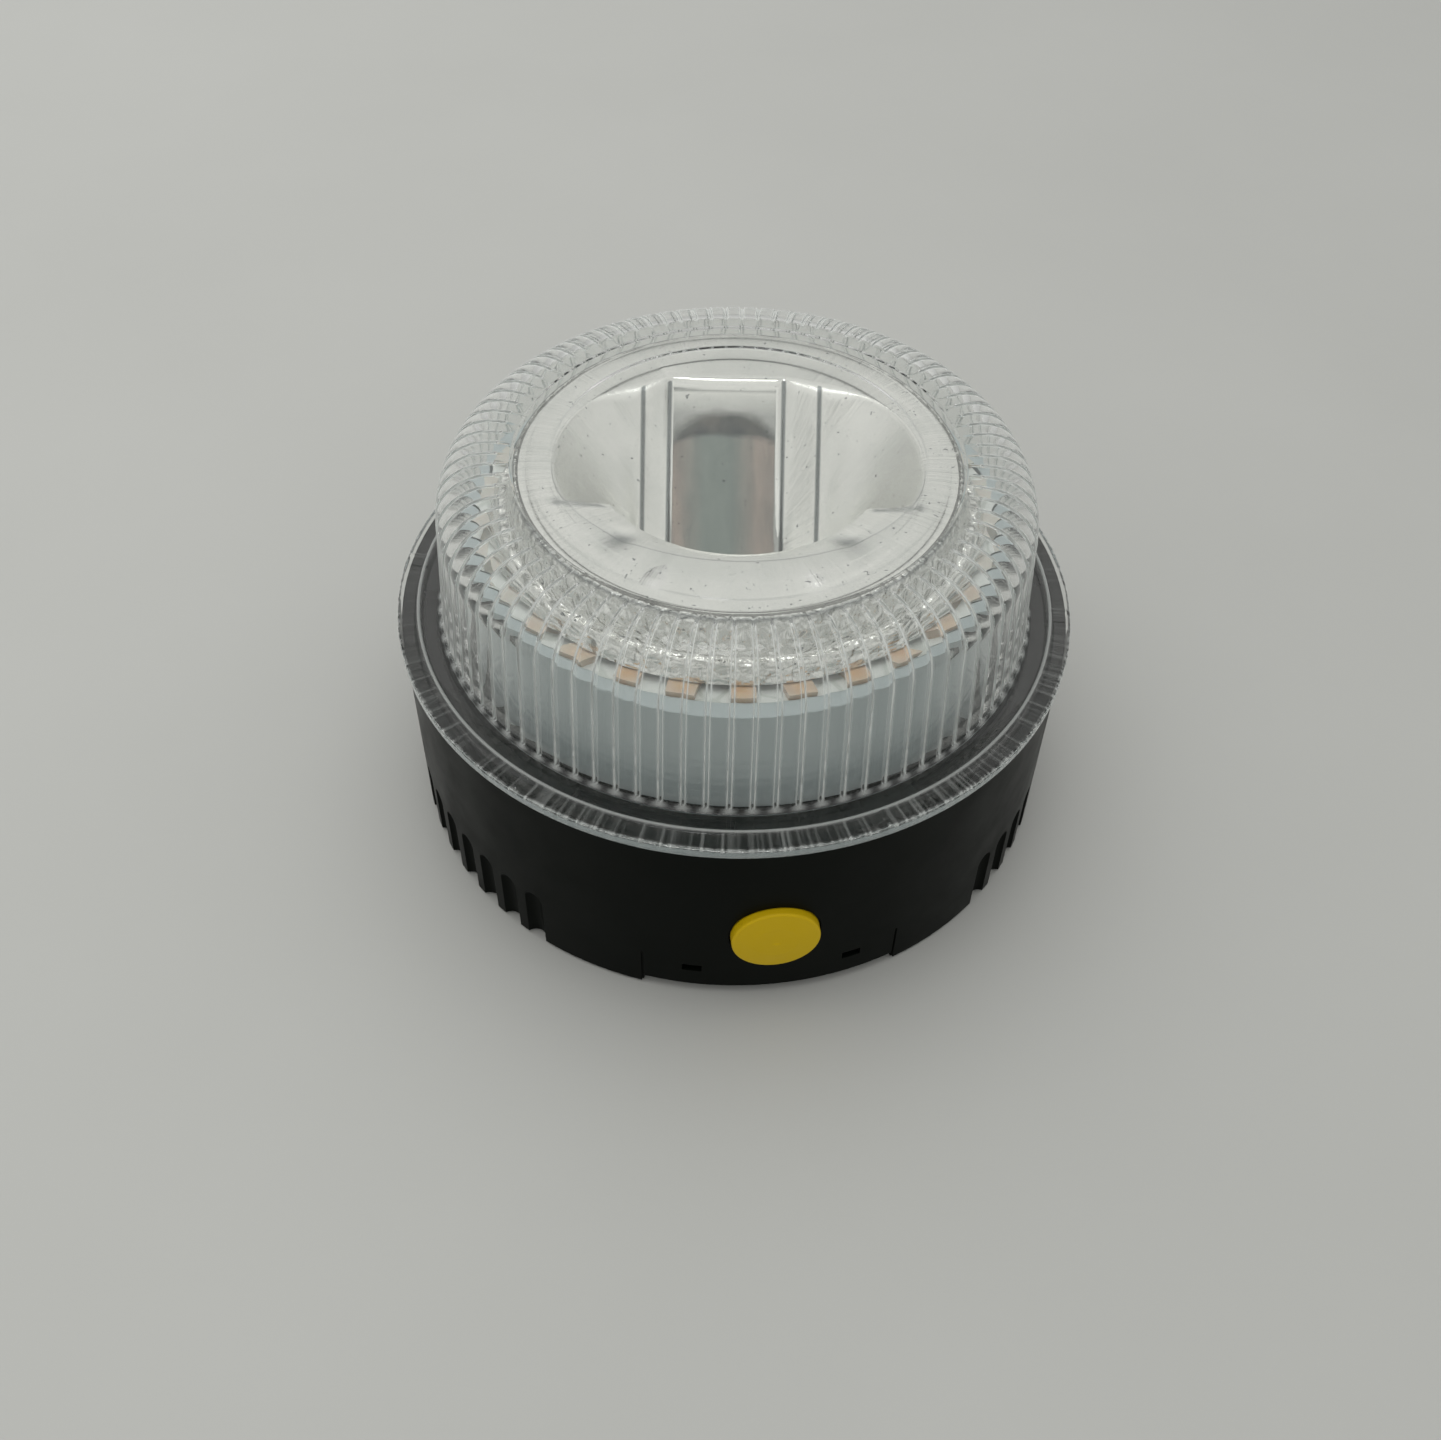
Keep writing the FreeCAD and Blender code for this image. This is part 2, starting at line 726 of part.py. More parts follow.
def make_light_drum():
    """Hollow drum that stands on the deck and carries the ring board in a seat round its top."""
    seat = "drum_top - seat_depth"
    shell = revolved("drum_shell", [
        ("drum_radius", "deck_top"),
        ("drum_radius - drum_draft", "drum_top"),
        ("seat_radius", "drum_top"),
        ("seat_radius", seat),
        ("drum_hole_radius", seat),
        ("drum_hole_radius", f"{seat} - drum_wall"),
        ("drum_radius - drum_draft - drum_wall", f"{seat} - drum_wall"),
        ("drum_radius - drum_wall", "deck_top"),
    ])
    additions = [shell]
    tools = []
    for i, (x, y) in enumerate(drum_screw_places()):
        additions.append(cylinder(f"drum_boss_{i}", "boss_radius", f"{seat} - drum_wall / 2 - deck_top",
                                  (x, y, "deck_top")))
        tools.append(screw_hole(f"drum_pilot_{i}", (x, y, "deck_top - 0.1"), UP, "drum_pilot_depth"))
    for i, (x, y) in enumerate(post_places()):
        tools.append(screw_hole(f"post_screw_hole_{i}", (x, y, f"{seat} - drum_wall - 0.1"), UP,
                                "drum_wall + 0.2"))
    tools.append(cylinder("drum_wire_hole", "wire_hole_radius * 0.7", "drum_wall + 0.2",
                          ("wire_hole_x", "-wire_hole_y", f"{seat} - drum_wall - 0.1")))
    return cut("light_drum", fused("drum_solid", additions), tools)


def make_led_ring_board():
    bottom = "drum_top - seat_depth"
    plate = ring("ring_board_plate", "drum_hole_radius + 0.4", "seat_radius - 0.2", bottom,
                 "ring_board_thick")
    holes = [
        cylinder(f"post_hole_{i}", "post_radius + 0.2", "ring_board_thick", (x, y, bottom))
        for i, (x, y) in enumerate(post_places())
    ]
    return cut("led_ring_board", plate, holes)


def make_amber_leds():
    """A ring of small lamps, one sketched and padded and the rest patterned about the vertical axis."""
    body = new_body("amber_leds")
    body.AllowCompound = True
    sketch = sketch_on(body, "XY_Plane", "lamp_outline")
    draw_outline(sketch, [
        ("lamp_circle_radius - lamp_wide / 2", "-lamp_long / 2"),
        ("lamp_circle_radius + lamp_wide / 2", "-lamp_long / 2"),
        ("lamp_circle_radius + lamp_wide / 2", "lamp_long / 2"),
        ("lamp_circle_radius - lamp_wide / 2", "lamp_long / 2"),
    ])
    bind(sketch, ".AttachmentOffset.Base.z", "drum_top - seat_depth + ring_board_thick")
    pad = body.newObject("PartDesign::Pad", "lamp_pad")
    pad.Profile = sketch
    bind(pad, "Length", "lamp_tall")
    doc.recompute()
    repeat_about_axis(body, pad, "lamp_ring", "lamp_count")
    return body


def ellipse(name, long_radius, short_radius, height):
    curve = doc.addObject("Part::Ellipse", name)
    bind(curve, "MajorRadius", long_radius)
    bind(curve, "MinorRadius", short_radius)
    return place(curve, ("0", "0", height), FreeCAD.Rotation(UP, number("reflector_turn")))


def bowl_loft(name, extra, top, floor):
    """A tapering bowl from the oval mouth down to the narrow floor, grown by extra all round."""
    loft = doc.addObject("Part::Loft", name)
    loft.Sections = [
        ellipse(name + "_mouth", f"mouth_long + {extra}", f"mouth_short + {extra}", top),
        ellipse(name + "_floor", f"bowl_floor_long + {extra}", f"bowl_floor_short + {extra}", floor),
    ]
    loft.Solid = True
    return loft


def make_reflector():
    """Plated moulding: a stepped outer skirt, a flat land under the window and a deep oval bowl."""
    wall = "reflector_wall"
    skirt = revolved("reflector_skirt", [
        ("0", "reflector_top"),
        ("land_radius", "reflector_top"),
        ("skirt_step_radius", "skirt_step_height"),
        ("skirt_step_radius + 0.8", "skirt_step_height"),
        ("skirt_radius", "skirt_bottom"),
        (f"skirt_radius - {wall}", "skirt_bottom"),
        (f"skirt_step_radius + 0.8 - {wall}", f"skirt_step_height - {wall}"),
        (f"skirt_step_radius - {wall}", f"skirt_step_height - {wall}"),
        (f"land_radius - {wall}", f"reflector_top - {wall}"),
        ("0", f"reflector_top - {wall}"),
    ])
    outside = bowl_loft("bowl_outside", wall, "reflector_top", f"bowl_floor - {wall}")
    inside = bowl_loft("bowl_inside", "0", "reflector_top", "bowl_floor")
    seat = "drum_top - seat_depth"
    additions = [skirt, outside]
    tools = [inside]
    for i, (x, y) in enumerate(post_places()):
        additions.append(cylinder(f"post_{i}", "post_radius", f"skirt_step_height - 0.4 - ({seat})",
                                  (x, y, seat)))
        tools.append(screw_hole(f"post_pilot_{i}", (x, y, f"{seat} - 0.1"), UP, "post_pilot_depth"))
    return cut("reflector", fused("reflector_solid", additions), tools)


# ---- button and switch ----


def make_push_button():
    """Crowned cap with a seal groove, a flange that keeps it behind the wall and a stem to the switch."""
    groove_front = "oring_place + oring_radius + 0.05"
    groove_back = "oring_place - oring_radius - 0.05"
    groove_floor = "oring_centre_radius - oring_radius"
    body = revolved("push_button", [
        ("0", "stem_tip"),
        ("stem_radius", "stem_tip"),
        ("stem_radius", "button_flange_front - button_flange_thick"),
        ("button_flange_radius", "button_flange_front - button_flange_thick"),
        ("button_flange_radius", "button_flange_front"),
        ("button_radius", "button_flange_front"),
        ("button_radius", groove_back),
        (groove_floor, groove_back),
        (groove_floor, groove_front),
        ("button_radius", groove_front),
        ("button_radius", "button_rim"),
        ("button_radius * 0.5", "button_face - (button_face - button_rim) * 0.25"),
        ("0", "button_face"),
    ])
    round_circles(body, "button_rim_fillet", "button_rim_round", [("button_radius", "button_rim")])
    return facing_front(body)


def make_button_oring():
    torus = doc.addObject("Part::Torus", "button_oring")
    bind(torus, "Radius1", "oring_centre_radius")
    bind(torus, "Radius2", "oring_radius")
    return place(torus, ("0", "-oring_place", "button_height"), FreeCAD.Rotation(UP, FORWARD))


def make_switch_body():
    case = box("switch_case", ("switch_size", "switch_thick", "switch_size"),
               ("0", "-board_front - switch_thick / 2", "button_height - switch_size / 2"))
    bore = cylinder("switch_bore", "plunger_radius + running_gap", "switch_thick",
                    ("0", "-board_front - 1.2", "button_height"), FORWARD)
    return cut("switch_body", case, [bore])


def make_switch_plunger():
    return cylinder("switch_plunger", "plunger_radius", "plunger_length",
                    ("0", "-stem_tip + plunger_length", "button_height"), FORWARD)


# ---- control board ----


def make_control_board():
    plate = box("board_plate", ("board_wide", "board_thick", "board_top - board_bottom"),
                ("0", "-board_front + board_thick / 2", "board_bottom"))
    holes = [
        screw_hole(f"board_hole_{i}", (x, "-board_front + board_thick + 0.1", z), FORWARD,
                   "board_thick + 0.2")
        for i, (x, z) in enumerate(board_screw_places())
    ]
    return cut("control_board", plate, holes)


def on_board(depth):
    """The y of the middle of a component that stands off the board's back face by depth."""
    return f"-board_front + board_thick + {depth} / 2"


def make_board_components():
    back_face = "-board_front + board_thick"
    chip = box("controller_chip", ("chip_long", "chip_thick", "chip_tall"),
               ("-8", on_board("chip_thick"), "12"))
    inductor_case = box("inductor_case", ("inductor_side", "inductor_thick", "inductor_side"),
                        ("9", on_board("inductor_thick"), "9"))
    winding = cylinder("inductor_recess", "winding_radius", "winding_depth",
                       ("9", f"{back_face} + inductor_thick", "9 + inductor_side / 2"), FORWARD)
    inductor = cut("power_inductor", inductor_case, [winding])
    capacitor = cylinder("filter_capacitor", "capacitor_radius", "capacitor_length",
                         ("-8", back_face, "22"), BACK)
    resistors = [
        box(f"resistor_{i}", ("resistor_long", "resistor_thick", "resistor_tall"),
            (f"-14 + resistor_pitch * {i % 3}", on_board("resistor_thick"), f"7.6 + 8 * {i // 3}"))
        for i in range(4)
    ]
    return [chip, inductor, capacitor, group("chip_resistors", resistors)]


# ---- battery ----


def make_battery_body():
    """Block battery lying on its side with its terminals to the right."""
    body = new_body("battery_body")
    sketch = sketch_on(body, "YZ_Plane", "battery_outline")
    low, high = "battery_y - battery_wide / 2", "battery_y + battery_wide / 2"
    top = "battery_bottom + battery_tall"
    draw_outline(sketch, [(low, "battery_bottom"), (high, "battery_bottom"), (high, top), (low, top)])
    bind(sketch, ".AttachmentOffset.Base.z", "-battery_left")
    pad = body.newObject("PartDesign::Pad", "battery_pad_feature")
    pad.Profile = sketch
    bind(pad, "Length", "battery_long")
    doc.recompute()
    fillet = body.newObject("PartDesign::Fillet", "battery_rounds")
    fillet.Base = (pad, [f"Edge{i}" for i in range(1, len(pad.Shape.Edges) + 1)])
    bind(fillet, "Radius", "battery_round")
    body.Tip = fillet
    doc.recompute()
    return body


def snap_pair(name, stud_side, start, length, stud_radius, ring_inner, ring_outer):
    """One stud and one ring of a snap terminal pair, both pointing right."""
    height = "battery_bottom + battery_tall / 2"
    stud_y = f"battery_y + {stud_side} * terminal_pitch / 2"
    ring_y = f"battery_y - {stud_side} * terminal_pitch / 2"
    stud = cylinder(name + "_stud", stud_radius, length, (start, stud_y, height), RIGHT)
    outer = cylinder(name + "_ring_outer", ring_outer, length, (start, ring_y, height), RIGHT)
    inner = cylinder(name + "_ring_inner", ring_inner, length, (start, ring_y, height), RIGHT)
    return group(name, [stud, cut(name + "_ring", outer, [inner])])


def make_battery_terminals():
    return snap_pair("battery_terminals", -1, "battery_long - battery_left", "terminal_length",
                     "terminal_stud_radius", "terminal_ring_inner", "terminal_ring_outer")


def make_snap_contacts():
    start = "battery_long - battery_left + contact_gap"
    return snap_pair("snap_contacts", 1, start, "terminal_length",
                     "contact_stud_radius", "contact_ring_inner", "terminal_ring_outer")


def make_snap_cap():
    start = "battery_long - battery_left + contact_gap + terminal_length"
    bottom = "battery_bottom + (battery_tall - snap_cap_tall) / 2"
    return box("snap_cap", ("snap_cap_thick", "snap_cap_wide", "snap_cap_tall"),
               (f"{start} + snap_cap_thick / 2", "battery_y", bottom))


def make_battery_tray():
    """Open-bottomed tray that hangs under the deck by two ears."""
    inner_wide = "battery_wide + 2 * battery_gap"
    left = "battery_left + battery_gap + tray_wall"
    right = "tray_right"
    shell = box("tray_shell",
                (f"{left} + {right}", f"{inner_wide} + 2 * tray_wall", "tray_top - tray_bottom"),
                (f"({right} - ({left})) / 2", "battery_y", "tray_bottom"))
    hollow = box("tray_hollow", (f"{left} + {right}", inner_wide, "tray_top - tray_plate - tray_bottom + 1"),
                 (f"({right} - ({left})) / 2 + tray_wall", "battery_y", "tray_bottom - 1"))
    reach = "battery_wide / 2 + battery_gap + tray_wall"
    ears = [
        box(f"tray_ear_{i}", ("ear_wide", "ear_reach", "tray_plate"),
            ("0", f"battery_y {sign} ({reach} + ear_reach / 2)", "tray_top - tray_plate"))
        for i, sign in enumerate(("+", "-"))
    ]
    holes = [
        screw_hole(f"ear_hole_{i}", (x, y, "tray_top - tray_plate - 0.1"), UP, "tray_plate + 0.2")
        for i, (x, y) in enumerate(tray_screw_places())
    ]
    return cut("battery_tray", fused("tray_solid", [shell] + ears), [hollow] + holes)


# ---- wires ----


def wire(points, start_direction, end_direction):
    """A round lead swept along a smooth curve that leaves and arrives in the given directions."""
    curve = Part.BSplineCurve()
    curve.interpolate(
        Points=[FreeCAD.Vector(*point) for point in points],
        InitialTangent=start_direction,
        FinalTangent=end_direction,
    )
    path = Part.Wire(curve.toShape())
    circle = Part.makeCircle(number("lead_radius"), FreeCAD.Vector(*points[0]), start_direction)
    return path.makePipeShell([Part.Wire(circle)], True, False)


def wire_node(name, solids):
    """Leads bend freely in three directions, so their shapes come straight from swept curves."""
    node = doc.addObject("Part::Feature", name)
    node.Shape = solids[0] if len(solids) == 1 else Part.makeCompound(solids)
    node.Placement = FreeCAD.Placement()
    return node


def battery_lead(name, terminal_y, bow_x, end_height):
    """One lead that leaves the snap cap, rounds the tray's corner and meets the control board's back."""
    cap_front = "battery_long - battery_left + terminal_length + contact_gap + snap_cap_thick"
    start_x = number(f"{cap_front} + lead_gap")
    middle = number("battery_bottom + battery_tall / 2")
    board_y = number("-board_front + board_thick + lead_gap")
    board_x = number("battery_lead_x")
    points = [
        (start_x, terminal_y, middle),
        (bow_x, terminal_y - 8.0, middle - 1.0),
        (bow_x - 2.5, -18.0, end_height + 2.0),
        (board_x, board_y, end_height),
    ]
    return wire_node(name, [wire(points, RIGHT, FORWARD)])


def lamp_lead(board_x, hole_shift):
    """One lead from the board's back up through the deck and the drum's top to the ring board."""
    x, y = number("wire_hole_x") + hole_shift, -number("wire_hole_y")
    board_y = number("-board_front + board_thick + lead_gap")
    deck = number("deck_top")
    ring_board = number("drum_top - seat_depth - lead_gap")
    points = [
        (board_x, board_y, deck - 6.4),
        ((board_x + x) / 2, y - 3.6, deck - 4.6),
        (x, y, deck - 0.6),
        (x, y, (deck + ring_board) / 2),
        (x, y, ring_board),
    ]
    return wire(points, BACK, UP)


def make_leads():
    """Two leads from the battery connector to the board, and a pair from the board up to the lamps."""
    side = number("terminal_pitch / 2")
    centre = number("battery_y")
    return [
        battery_lead("positive_lead", centre + side, 32.5, 12.0),
        battery_lead("negative_lead", centre - side, 30.5, 8.6),
        wire_node("lamp_leads", [lamp_lead(8.0, -1.0), lamp_lead(10.5, 1.0)]),
    ]


# ---- bottom lid ----


def make_bottom_lid():
    """Round lid with a magnet pocket underneath, trunnions at the back and two snap hooks at the front."""
    top = "lid_bottom + lid_thick"
    pocket_top = "lid_bottom + 2 * magnet_gap + magnet_thick"
    disc = revolved("lid_disc", [
        ("magnet_radius + magnet_gap", "lid_bottom"),
        ("lid_radius", "lid_bottom"),
        ("lid_radius", top),
        ("lid_boss_radius", top),
        ("lid_boss_radius", "lid_boss_top"),
        ("0", "lid_boss_top"),
        ("0", pocket_top),
        ("magnet_radius + magnet_gap", pocket_top),
    ])
    clearances = [
        box(f"lug_room_{side + 1}", ("lug_outer - lug_inner + 2 * lug_gap", "8", "lid_thick + 2"),
            (f"{side} * (lug_inner + lug_outer) / 2", "lug_front - 0.8 + 4", "lid_bottom - 1"))
        for side in (-1, 1)
    ]
    clearances += [
        box(f"lid_flat_{side + 1}", ("14", "8", "lid_thick + 2"),
            (f"{side} * (lug_outer + lug_gap + 7)", "lid_rear_y + 4", "lid_bottom - 1"))
        for side in (-1, 1)
    ]
    plate = cut("lid_plate", disc, clearances)
    trunnions = cylinder("trunnions", "trunnion_radius", "2 * trunnion_reach",
                         ("-trunnion_reach", "hinge_y", "hinge_height"), RIGHT)
    screw_boss = cylinder("lid_screw_boss", "lid_screw_boss_radius", f"column_bottom - 0.8 - ({top})",
                          ("0", "-lid_screw_y", top))
    additions = [plate, trunnions, screw_boss]
    for side in (-1, 1):
        angle = f"{FRONT} + {side} * window_angle"
        x, y = polar("(hook_inner_radius + hook_outer_radius) / 2", angle)
        additions.append(box(f"hook_{side + 1}",
                             ("hook_wide", "hook_outer_radius - hook_inner_radius",
                              f"hook_top - ({top}) + 0.5"),
                             (x, y, f"{top} - 0.5"), number(angle) + 90))
        x, y = polar("hook_outer_radius", angle)
        additions.append(box(f"hook_nose_{side + 1}", ("window_wide - 0.4", "0.4", "window_tall - 0.3"),
                             (x, y, "window_height - window_tall / 2 + 0.15"), number(angle) + 90))
    shank_hole = cylinder("lid_shank_hole", "lid_screw_shank_radius + running_gap", "6",
                          ("0", "-lid_screw_y", "lid_bottom"))
    counterbore = cylinder("lid_counterbore", "lid_screw_head_radius + 0.2", "1.5",
                           ("0", "-lid_screw_y", "lid_bottom"))
    return cut("bottom_lid", fused("lid_solid", additions), [shank_hole, counterbore])


def make_lid_seal():
    return ring("lid_seal", "seal_inner_radius", "seal_outer_radius", "lid_bottom + lid_thick", "1")


def make_lid_screw():
    """Captive coin screw with a groove for its retaining clip."""
    clip_bottom = "column_bottom - retainer_drop"
    blank = revolved("lid_screw_blank", [
        ("0", "lid_bottom + 0.1"),
        ("lid_screw_head_radius", "lid_bottom + 0.1"),
        ("lid_screw_head_radius", "lid_bottom + 1.4"),
        ("lid_screw_shank_radius", "lid_bottom + 1.4"),
        ("lid_screw_shank_radius", clip_bottom),
        ("lid_screw_shank_radius - 0.3", clip_bottom),
        ("lid_screw_shank_radius - 0.3", f"{clip_bottom} + retainer_thick + 0.02"),
        ("lid_screw_shank_radius", f"{clip_bottom} + retainer_thick + 0.02"),
        ("lid_screw_shank_radius", "lid_screw_tip - 0.5"),
        ("lid_screw_shank_radius - 0.5", "lid_screw_tip"),
        ("0", "lid_screw_tip"),
    ])
    place(blank, ("0", "-lid_screw_y", "0"))
    slot = box("coin_slot", ("7", "1.1", "0.8"), ("0", "-lid_screw_y", "lid_bottom"))
    return cut("lid_screw", blank, [slot])


def make_screw_retainer():
    clip_bottom = "column_bottom - retainer_drop"
    base = ("0", "-lid_screw_y", clip_bottom)
    disc = cylinder("retainer_disc", "lid_screw_shank_radius + retainer_reach", "retainer_thick", base)
    bore = cylinder("retainer_bore", "lid_screw_shank_radius - 0.28", "retainer_thick", base)
    gap = box("retainer_gap", ("2", "4", "retainer_thick"), ("0", "-lid_screw_y - 2", clip_bottom))
    return cut("screw_retainer", disc, [bore, gap])


def make_screw_insert():
    base = ("0", "-lid_screw_y", "column_bottom")
    sleeve = cylinder("insert_sleeve", "insert_radius", "insert_length", base)
    bore = cylinder("insert_bore", "insert_bore_radius", "insert_length", base)
    return cut("screw_insert", sleeve, [bore])


def make_magnet():
    return cylinder("magnet", "magnet_radius", "magnet_thick", ("0", "0", "lid_bottom + magnet_gap"))


def make_foot_pad():
    return revolved("foot_pad", [
        ("0", "0"),
        ("foot_radius - foot_chamfer", "0"),
        ("foot_radius", "foot_chamfer"),
        ("foot_radius", "lid_bottom"),
        ("0", "lid_bottom"),
    ])


def make_battery_pad():
    return box("battery_pad", ("pad_long", "pad_wide", "battery_bottom - lid_boss_top - 0.2"),
               ("0", "2", "lid_boss_top + 0.1"))


# ---- fasteners ----


def make_screw_groups():
    deck_underside = "deck_top - deck_thick"
    plate_underside = "drum_top - seat_depth - drum_wall"
    drum = [screw(f"drum_screw_{i}", (x, y, deck_underside), UP, "drum_screw_length")
            for i, (x, y) in enumerate(drum_screw_places())]
    posts = [screw(f"post_screw_{i}", (x, y, plate_underside), UP, "post_screw_length")
             for i, (x, y) in enumerate(post_places())]
    tray = [screw(f"tray_screw_{i}", (x, y, "tray_top - tray_plate"), UP, "tray_screw_length")
            for i, (x, y) in enumerate(tray_screw_places())]
    board = [screw(f"board_screw_{i}", (x, "-board_front + board_thick", z), FORWARD, "board_screw_length")
             for i, (x, z) in enumerate(board_screw_places())]
    return [
        group("drum_screws", drum),
        group("reflector_screws", posts),
        group("tray_screws", tray),
        group("board_screws", board),
    ]


def make_nodes():
    nodes = [
        make_base_housing(),
        make_clear_dome(),
        make_dome_gasket(),
        make_light_drum(),
        make_led_ring_board(),
        make_amber_leds(),
        make_reflector(),
        make_push_button(),
        make_button_oring(),
        make_switch_body(),
        make_switch_plunger(),
        make_control_board(),
        make_battery_body(),
        make_battery_terminals(),
        make_snap_contacts(),
        make_snap_cap(),
        make_battery_tray(),
        make_bottom_lid(),
        make_lid_seal(),
        make_lid_screw(),
        make_screw_retainer(),
        make_screw_insert(),
        make_magnet(),
        make_foot_pad(),
        make_battery_pad(),
    ]
    return nodes + make_board_components() + make_leads() + make_screw_groups()


def check(nodes):
    """Stop before anything is written if a feature failed or a node has no sound shape."""
    failed = [feature.Label for feature in doc.Objects if {"Invalid", "Error"} & set(feature.State)]
    if failed:
        raise RuntimeError(f"these features failed: {failed}")
    for node in nodes:
        if node.Shape.isNull() or not node.Shape.isValid() or not node.Shape.Solids:
            raise RuntimeError(f"{node.Label} has no sound shape")


def write(nodes):
    os.makedirs("parts", exist_ok=True)
    for node in nodes:
        node.Shape.exportStep(os.path.join("parts", node.Label + ".step"))


nodes = make_nodes()
doc.recompute()
check(nodes)
write(nodes)
for node in nodes:
    print(f"{node.Label}: {len(node.Shape.Solids)} solid(s), {node.Shape.Volume:.1f} mm3")
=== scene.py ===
import json
import math

import bpy
import numpy as np
from mathutils import Matrix, Vector


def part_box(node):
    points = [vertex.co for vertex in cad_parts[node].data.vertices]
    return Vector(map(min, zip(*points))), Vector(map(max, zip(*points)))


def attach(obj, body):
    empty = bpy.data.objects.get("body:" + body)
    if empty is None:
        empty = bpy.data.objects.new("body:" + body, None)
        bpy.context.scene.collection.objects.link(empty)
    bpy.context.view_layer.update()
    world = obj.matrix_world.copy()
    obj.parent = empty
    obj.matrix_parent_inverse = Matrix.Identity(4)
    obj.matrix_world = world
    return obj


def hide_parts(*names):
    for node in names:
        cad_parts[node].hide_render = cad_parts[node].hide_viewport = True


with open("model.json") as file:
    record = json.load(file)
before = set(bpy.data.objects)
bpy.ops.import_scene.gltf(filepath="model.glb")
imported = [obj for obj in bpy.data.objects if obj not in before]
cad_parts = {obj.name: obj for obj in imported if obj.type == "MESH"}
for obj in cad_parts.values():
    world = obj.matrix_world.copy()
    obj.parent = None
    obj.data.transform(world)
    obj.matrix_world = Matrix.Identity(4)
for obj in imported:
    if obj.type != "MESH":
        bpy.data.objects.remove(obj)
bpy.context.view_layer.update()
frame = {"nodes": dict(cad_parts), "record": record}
MM = 0.001

# Heights and radii in millimetres.
FLANGE_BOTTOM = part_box("base_housing")[1].z / MM
DOME_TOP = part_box("clear_dome")[1].z / MM
FLANGE_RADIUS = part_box("clear_dome")[1].x / MM
FLANGE_THICK = 1.7
FLANGE_TOP = FLANGE_BOTTOM + FLANGE_THICK
SPIGOT_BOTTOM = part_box("dome_gasket")[1].z / MM
REFLECTOR_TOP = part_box("reflector")[1].z / MM
REFLECTOR_TURN = math.radians(-7.2)
FRONT = -math.pi / 2


# ---- node materials ----


class Nodes:
    """A small helper that adds shader nodes to one new material, or to one new world, and links them."""

    def __init__(self, name, library="materials", output="ShaderNodeOutputMaterial"):
        self.owner = getattr(bpy.data, library).new(name)
        self.owner.use_nodes = True
        self.tree = self.owner.node_tree
        self.tree.nodes.clear()
        self.output = self.add(output)

    def add(self, kind, inputs=None, **settings):
        node = self.tree.nodes.new(kind)
        for key, value in settings.items():
            setattr(node, key, value)
        for key, value in (inputs or {}).items():
            self.feed(node.inputs[key], value)
        return node

    def feed(self, socket, value):
        if isinstance(value, bpy.types.NodeSocket):
            self.tree.links.new(value, socket)
        else:
            socket.default_value = value

    def coordinates(self):
        return self.add("ShaderNodeTexCoord").outputs["Object"]

    def painted(self, name):
        """The number stored per vertex under a name, zero where there is none."""
        return self.add("ShaderNodeAttribute", attribute_name=name).outputs["Fac"]

    def noise(self, scale, detail=4.0, roughness=0.55, vector=None):
        inputs = {"Scale": scale, "Detail": detail, "Roughness": roughness}
        inputs["Vector"] = vector or self.coordinates()
        return self.add("ShaderNodeTexNoise", inputs).outputs["Fac"]

    def ramp(self, factor, low, high, start=0.0, end=1.0):
        """Map a factor between start and end to a number or a colour between low and high."""
        node = self.add("ShaderNodeValToRGB", {"Fac": factor})
        node.color_ramp.elements[0].position = start
        node.color_ramp.elements[1].position = end
        node.color_ramp.elements[0].color = as_colour(low)
        node.color_ramp.elements[1].color = as_colour(high)
        return node.outputs["Color"]

    def math(self, operation, first, second=0.0):
        node = self.add("ShaderNodeMath", operation=operation)
        self.feed(node.inputs[0], first)
        self.feed(node.inputs[1], second)
        return node.outputs[0]

    def mix(self, factor, first, second):
        node = self.add("ShaderNodeMix", data_type="RGBA")
        self.feed(node.inputs[0], factor)
        self.feed(node.inputs[6], first)
        self.feed(node.inputs[7], second)
        return node.outputs[2]

    def blend(self, factor, first, second):
        """Mix two shaders."""
        node = self.add("ShaderNodeMixShader")
        self.feed(node.inputs[0], factor)
        self.feed(node.inputs[1], first)
        self.feed(node.inputs[2], second)
        return node.outputs[0]

    def bump(self, height, distance, strength=1.0, normal=None):
        inputs = {"Height": height, "Distance": distance, "Strength": strength}
        if normal is not None:
            inputs["Normal"] = normal
        return self.add("ShaderNodeBump", inputs).outputs["Normal"]

    def principled(self, **inputs):
        named = {key.replace("_", " "): value for key, value in inputs.items()}
        return self.add("ShaderNodeBsdfPrincipled", named).outputs["BSDF"]

    def scaled(self, colour, factor):
        node = self.add("ShaderNodeVectorMath", {0: colour, 3: factor}, operation="SCALE")
        return node.outputs["Vector"]

    def ranged(self, value, low, high, start, end):
        """Map a value between start and end to a number between low and high."""
        inputs = {"Value": value, "From Min": start, "From Max": end, "To Min": low, "To Max": high}
        return self.add("ShaderNodeMapRange", inputs).outputs["Result"]

    def split(self, vector):
        """The x, y and z outputs of a vector."""
        node = self.add("ShaderNodeSeparateXYZ", {"Vector": vector})
        return [node.outputs[letter] for letter in "XYZ"]

    def hypotenuse(self, first, second):
        squares = [self.math("MULTIPLY", side, side) for side in (first, second)]
        return self.math("SQRT", self.math("ADD", *squares))

    def finish(self, shader):
        self.feed(self.output.inputs["Surface"], shader)
        return self.owner


def as_colour(value):
    if isinstance(value, (int, float)):
        return (value, value, value, 1.0)
    return (*value[:3], 1.0)


EDGE_ROUND = 0.00015
METAL_STREAK = (40.0, 40.0, 900.0)


